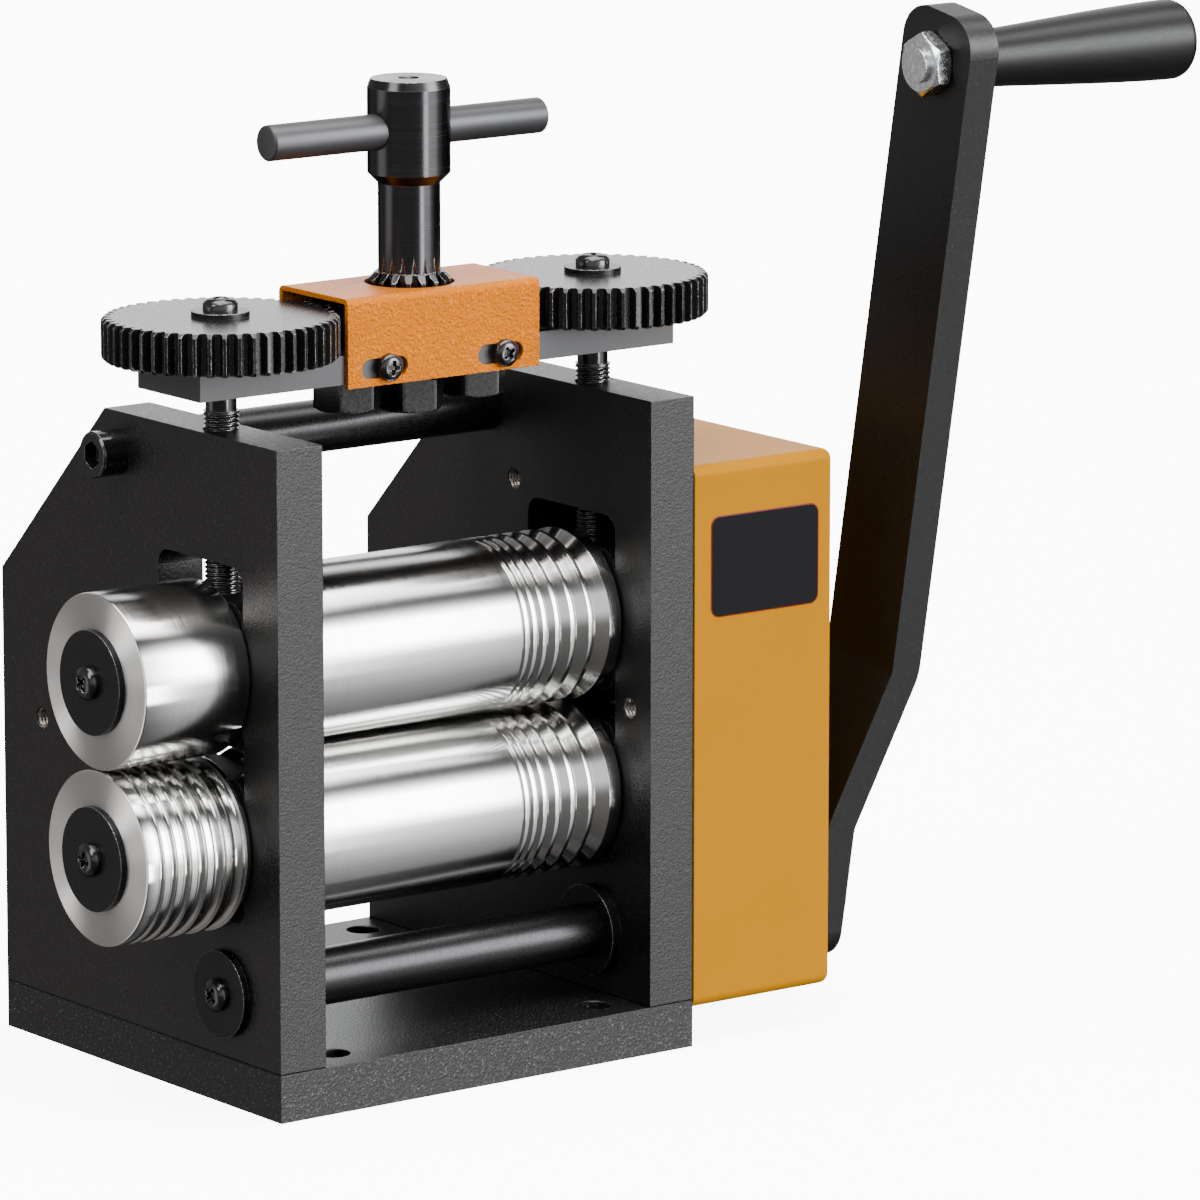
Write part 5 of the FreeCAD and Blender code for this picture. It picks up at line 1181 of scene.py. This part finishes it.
@dataclass(frozen=True)
class Studio:
    """Pale floor, soft lamps and the camera of the photographed view, in metres."""

    azimuth_deg: float = -37.006
    elevation_deg: float = 11.422
    roll_deg: float = 0.025
    distance: float = 2.3394
    lens_mm: float = 250.5
    middle: Point = (0.0, 0.0, 0.14418)
    shift_right: float = 0.0712
    shift_up: float = -0.01771
    sensor_mm: float = 36.0
    sight: float = 50.0
    floor_side: float = 6.0
    floor_back: float = 8.0
    floor_glow: float = 8.0
    lamps: tuple[Softbox, ...] = (
        Softbox("left_top", (-1.48, -0.19, 1.28), (0.0, 0.0, 0.12), 0.7, 1.1, 24.0),)
    # Brightness of the boxes round the rolls, by the angle from the front over the top in degrees.
    boxes: Pairs = (
        (-180, 0.2), (-165, 0.08), (-150, 0.14), (-100, 0.14), (-80, 0.3), (-51, 0.7), (-40, 1.15),
        (-17, 2.2), (-10, 3.0), (-4, 8), (2, 16), (8, 25), (34, 25), (40, 9), (46, 2.6),
        (52, 0.62), (57, 0.22), (62, 0.22), (67, 3.4), (74, 5.8), (84, 9), (91, 7.5), (95, 3),
        (97, 0.04), (118, 0.03), (122, 0.3), (130, 2.8), (135, 1.9), (143, 1.2), (152, 2.5),
        (180, 2.8))
    # Share of it that stays, by how far a direction points along the rolls.
    reach: Pairs = (
        (-1.0, 0.05), (-0.3, 0.06), (0.15, 0.12), (0.42, 1.0), (0.7, 1.0), (0.82, 0.15),
        (1.0, 0.1))
    # Brightness of the wall on the left, by the same.
    left: Pairs = (
        (-1.0, 0.2), (-0.45, 0.1), (-0.2, 0.06), (0.0, 0.0), (1.0, 0.0))
    # A low strip in front, one at the left towards the back with a dim wall behind it, and a
    # soft box overhead.
    strips: tuple[Strip, ...] = (
        Strip((0.13, -1.2, -0.36), (0.31, 0.0, -0.04), 22.0),
        Strip((-1.2, 0.22, -0.5), (0.0, 0.62, 0.15), 2.0, 0.1),
        Strip((-1.2, 0.0, -1.2), (-0.2, 1.2, 1.2), 0.2, 0.15),
        Strip((-0.4, -0.45, 0.82), (0.4, 0.35, 1.2), 12.0, 0.1))

    def build(self) -> None:
        """Set the floor, lamps, surroundings and camera."""
        self.floor()
        for lamp in self.lamps:
            lamp.build()
        self.walls()
        self.camera()

    def floor(self) -> None:
        """Lay the pale floor. It is lit from below like a light table, and reflections skip it."""
        mesh = bpy.data.meshes.new("studio_floor")
        side, back = self.floor_side, self.floor_back
        across, deep = np.meshgrid(np.linspace(-side, side, 3), np.linspace(-side, back, 3),
                                   indexing="ij")
        points = np.stack([across, deep, 0 * across], axis=-1).reshape(-1, 3)
        numbers = np.arange(9).reshape(3, 3)
        quads = np.stack([numbers[:-1, :-1], numbers[1:, :-1], numbers[1:, 1:],
                          numbers[:-1, 1:]], axis=-1).reshape(-1, 4)
        mesh.from_pydata(points.tolist(), [], quads.tolist())
        floor = bpy.data.objects.new("studio_floor", mesh)
        floor.visible_glossy = False
        floor.visible_diffuse = False
        bpy.context.scene.collection.objects.link(floor)
        paper = bpy.data.materials.new("studio_light_table")
        paper.use_nodes = True
        paper.node_tree.nodes.clear()
        shader = add(paper.node_tree, "BsdfPrincipled",
                     {"Base Color": linear("#f6f6f6"), "Roughness": 0.7,
                      "Emission Color": linear("#ffffff"), "Emission Strength": self.floor_glow})
        add(paper.node_tree, "OutputMaterial", links={"Surface": (shader, "BSDF")})
        mesh.materials.append(paper)

    def ramp(self, tree: Tree, source: tuple, low: float, high: float,
             stops: Pairs) -> Node:
        """Turn a number into a brightness through stops; the ramp holds its cube root.

        Args:
            tree: Tree that takes the nodes.
            source: (node, output) that gives the number.
            low: Number at the first end of the ramp.
            high: Number at its other end.
            stops: (number, brightness) in order.

        Returns:
            The node whose value is the brightness.
        """
        top = float(max(bright for _, bright in stops))
        share = add(tree, "MapRange", {1: low, 2: high}, {0: source})
        band = add(tree, "ValToRGB", links={0: (share, 0)})
        elements = band.color_ramp.elements
        for index, (number, bright) in enumerate(stops):
            at = (number - low) / (high - low)
            stop = elements[index] if index < len(elements) else elements.new(at)
            stop.position = at
            grey = (bright / top) ** (1 / 3)
            stop.color = (grey, grey, grey, 1.0)
        cube = add(tree, "Math", {"operation": "POWER", 1: 3.0}, {0: (band, "Color")})
        return add(tree, "Math", {"operation": "MULTIPLY", 1: top}, {0: (cube, 0)})

    def walls(self) -> None:
        """Surround the mill with long soft boxes that lie along its rolls."""
        world = bpy.data.worlds.new("studio_walls")
        world.use_nodes = True
        tree = world.node_tree
        tree.nodes.clear()
        place = add(tree, "TexCoord")
        parts = add(tree, "SeparateXYZ", links={0: (place, "Generated")})
        front = add(tree, "Math", {"operation": "MULTIPLY", 1: -1.0},
                    {0: (parts, "Y")})
        angle = add(tree, "Math", {"operation": "ARCTAN2"},
                    {0: (parts, "Z"), 1: (front, 0)})
        bright = self.ramp(tree, (angle, 0), -math.pi, math.pi,
                           tuple((math.radians(a), b) for a, b in self.boxes))
        share = self.ramp(tree, (parts, "X"), -1.0, 1.0, self.reach)
        both = add(tree, "Math", {"operation": "MULTIPLY"},
                   {0: (bright, 0), 1: (share, 0)})
        wall = self.ramp(tree, (parts, "X"), -1.0, 1.0, self.left)
        for strip in self.strips:
            wall = add(tree, "Math", {"operation": "ADD"},
                       {0: (wall, 0), 1: (strip.build(tree, place), 0)})
        shown = [add(tree, "Background", {"Color": linear(tint)}, {"Strength": strength})
                 for tint, strength in (("#f8fafb", (both, 0)), ("#fffaf8", (wall, 0)))]
        total = add(tree, "AddShader",
                    links={index: (light, "Background") for index, light in enumerate(shown)})
        add(tree, "OutputWorld", links={"Surface": (total, "Shader")})
        bpy.context.scene.world = world

    def camera(self) -> None:
        """Stand the camera where the photograph was taken from."""
        azimuth, elevation = math.radians(self.azimuth_deg), math.radians(self.elevation_deg)
        back = Vector((math.sin(azimuth) * math.cos(elevation),
                       -math.cos(azimuth) * math.cos(elevation), math.sin(elevation)))
        right = Vector((math.cos(azimuth), math.sin(azimuth), 0.0))
        up = back.cross(right)
        target = Vector(self.middle) + right * self.shift_right + up * self.shift_up
        roll = math.radians(self.roll_deg)
        level = right * math.cos(roll) + up * math.sin(roll)
        upright = up * math.cos(roll) - right * math.sin(roll)
        lens = bpy.data.cameras.new("photo_camera")
        lens.lens = self.lens_mm
        lens.sensor_width = self.sensor_mm
        lens.clip_end = self.sight
        eye = bpy.data.objects.new("photo_camera", lens)
        turn = Matrix((level, upright, back)).transposed().to_4x4()
        eye.matrix_world = Matrix.Translation(target + back * self.distance) @ turn
        bpy.context.scene.collection.objects.link(eye)
        bpy.context.scene.camera = eye


def main() -> None:
    """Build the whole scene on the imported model."""
    logging.basicConfig(level=logging.INFO)
    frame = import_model()
    for assembly in (Stand, Rolls, Crank, Cover, Bridge, Adjustment):
        assembly(frame["nodes"]).build()
    Studio().build()


if __name__ == "__main__":
    main()
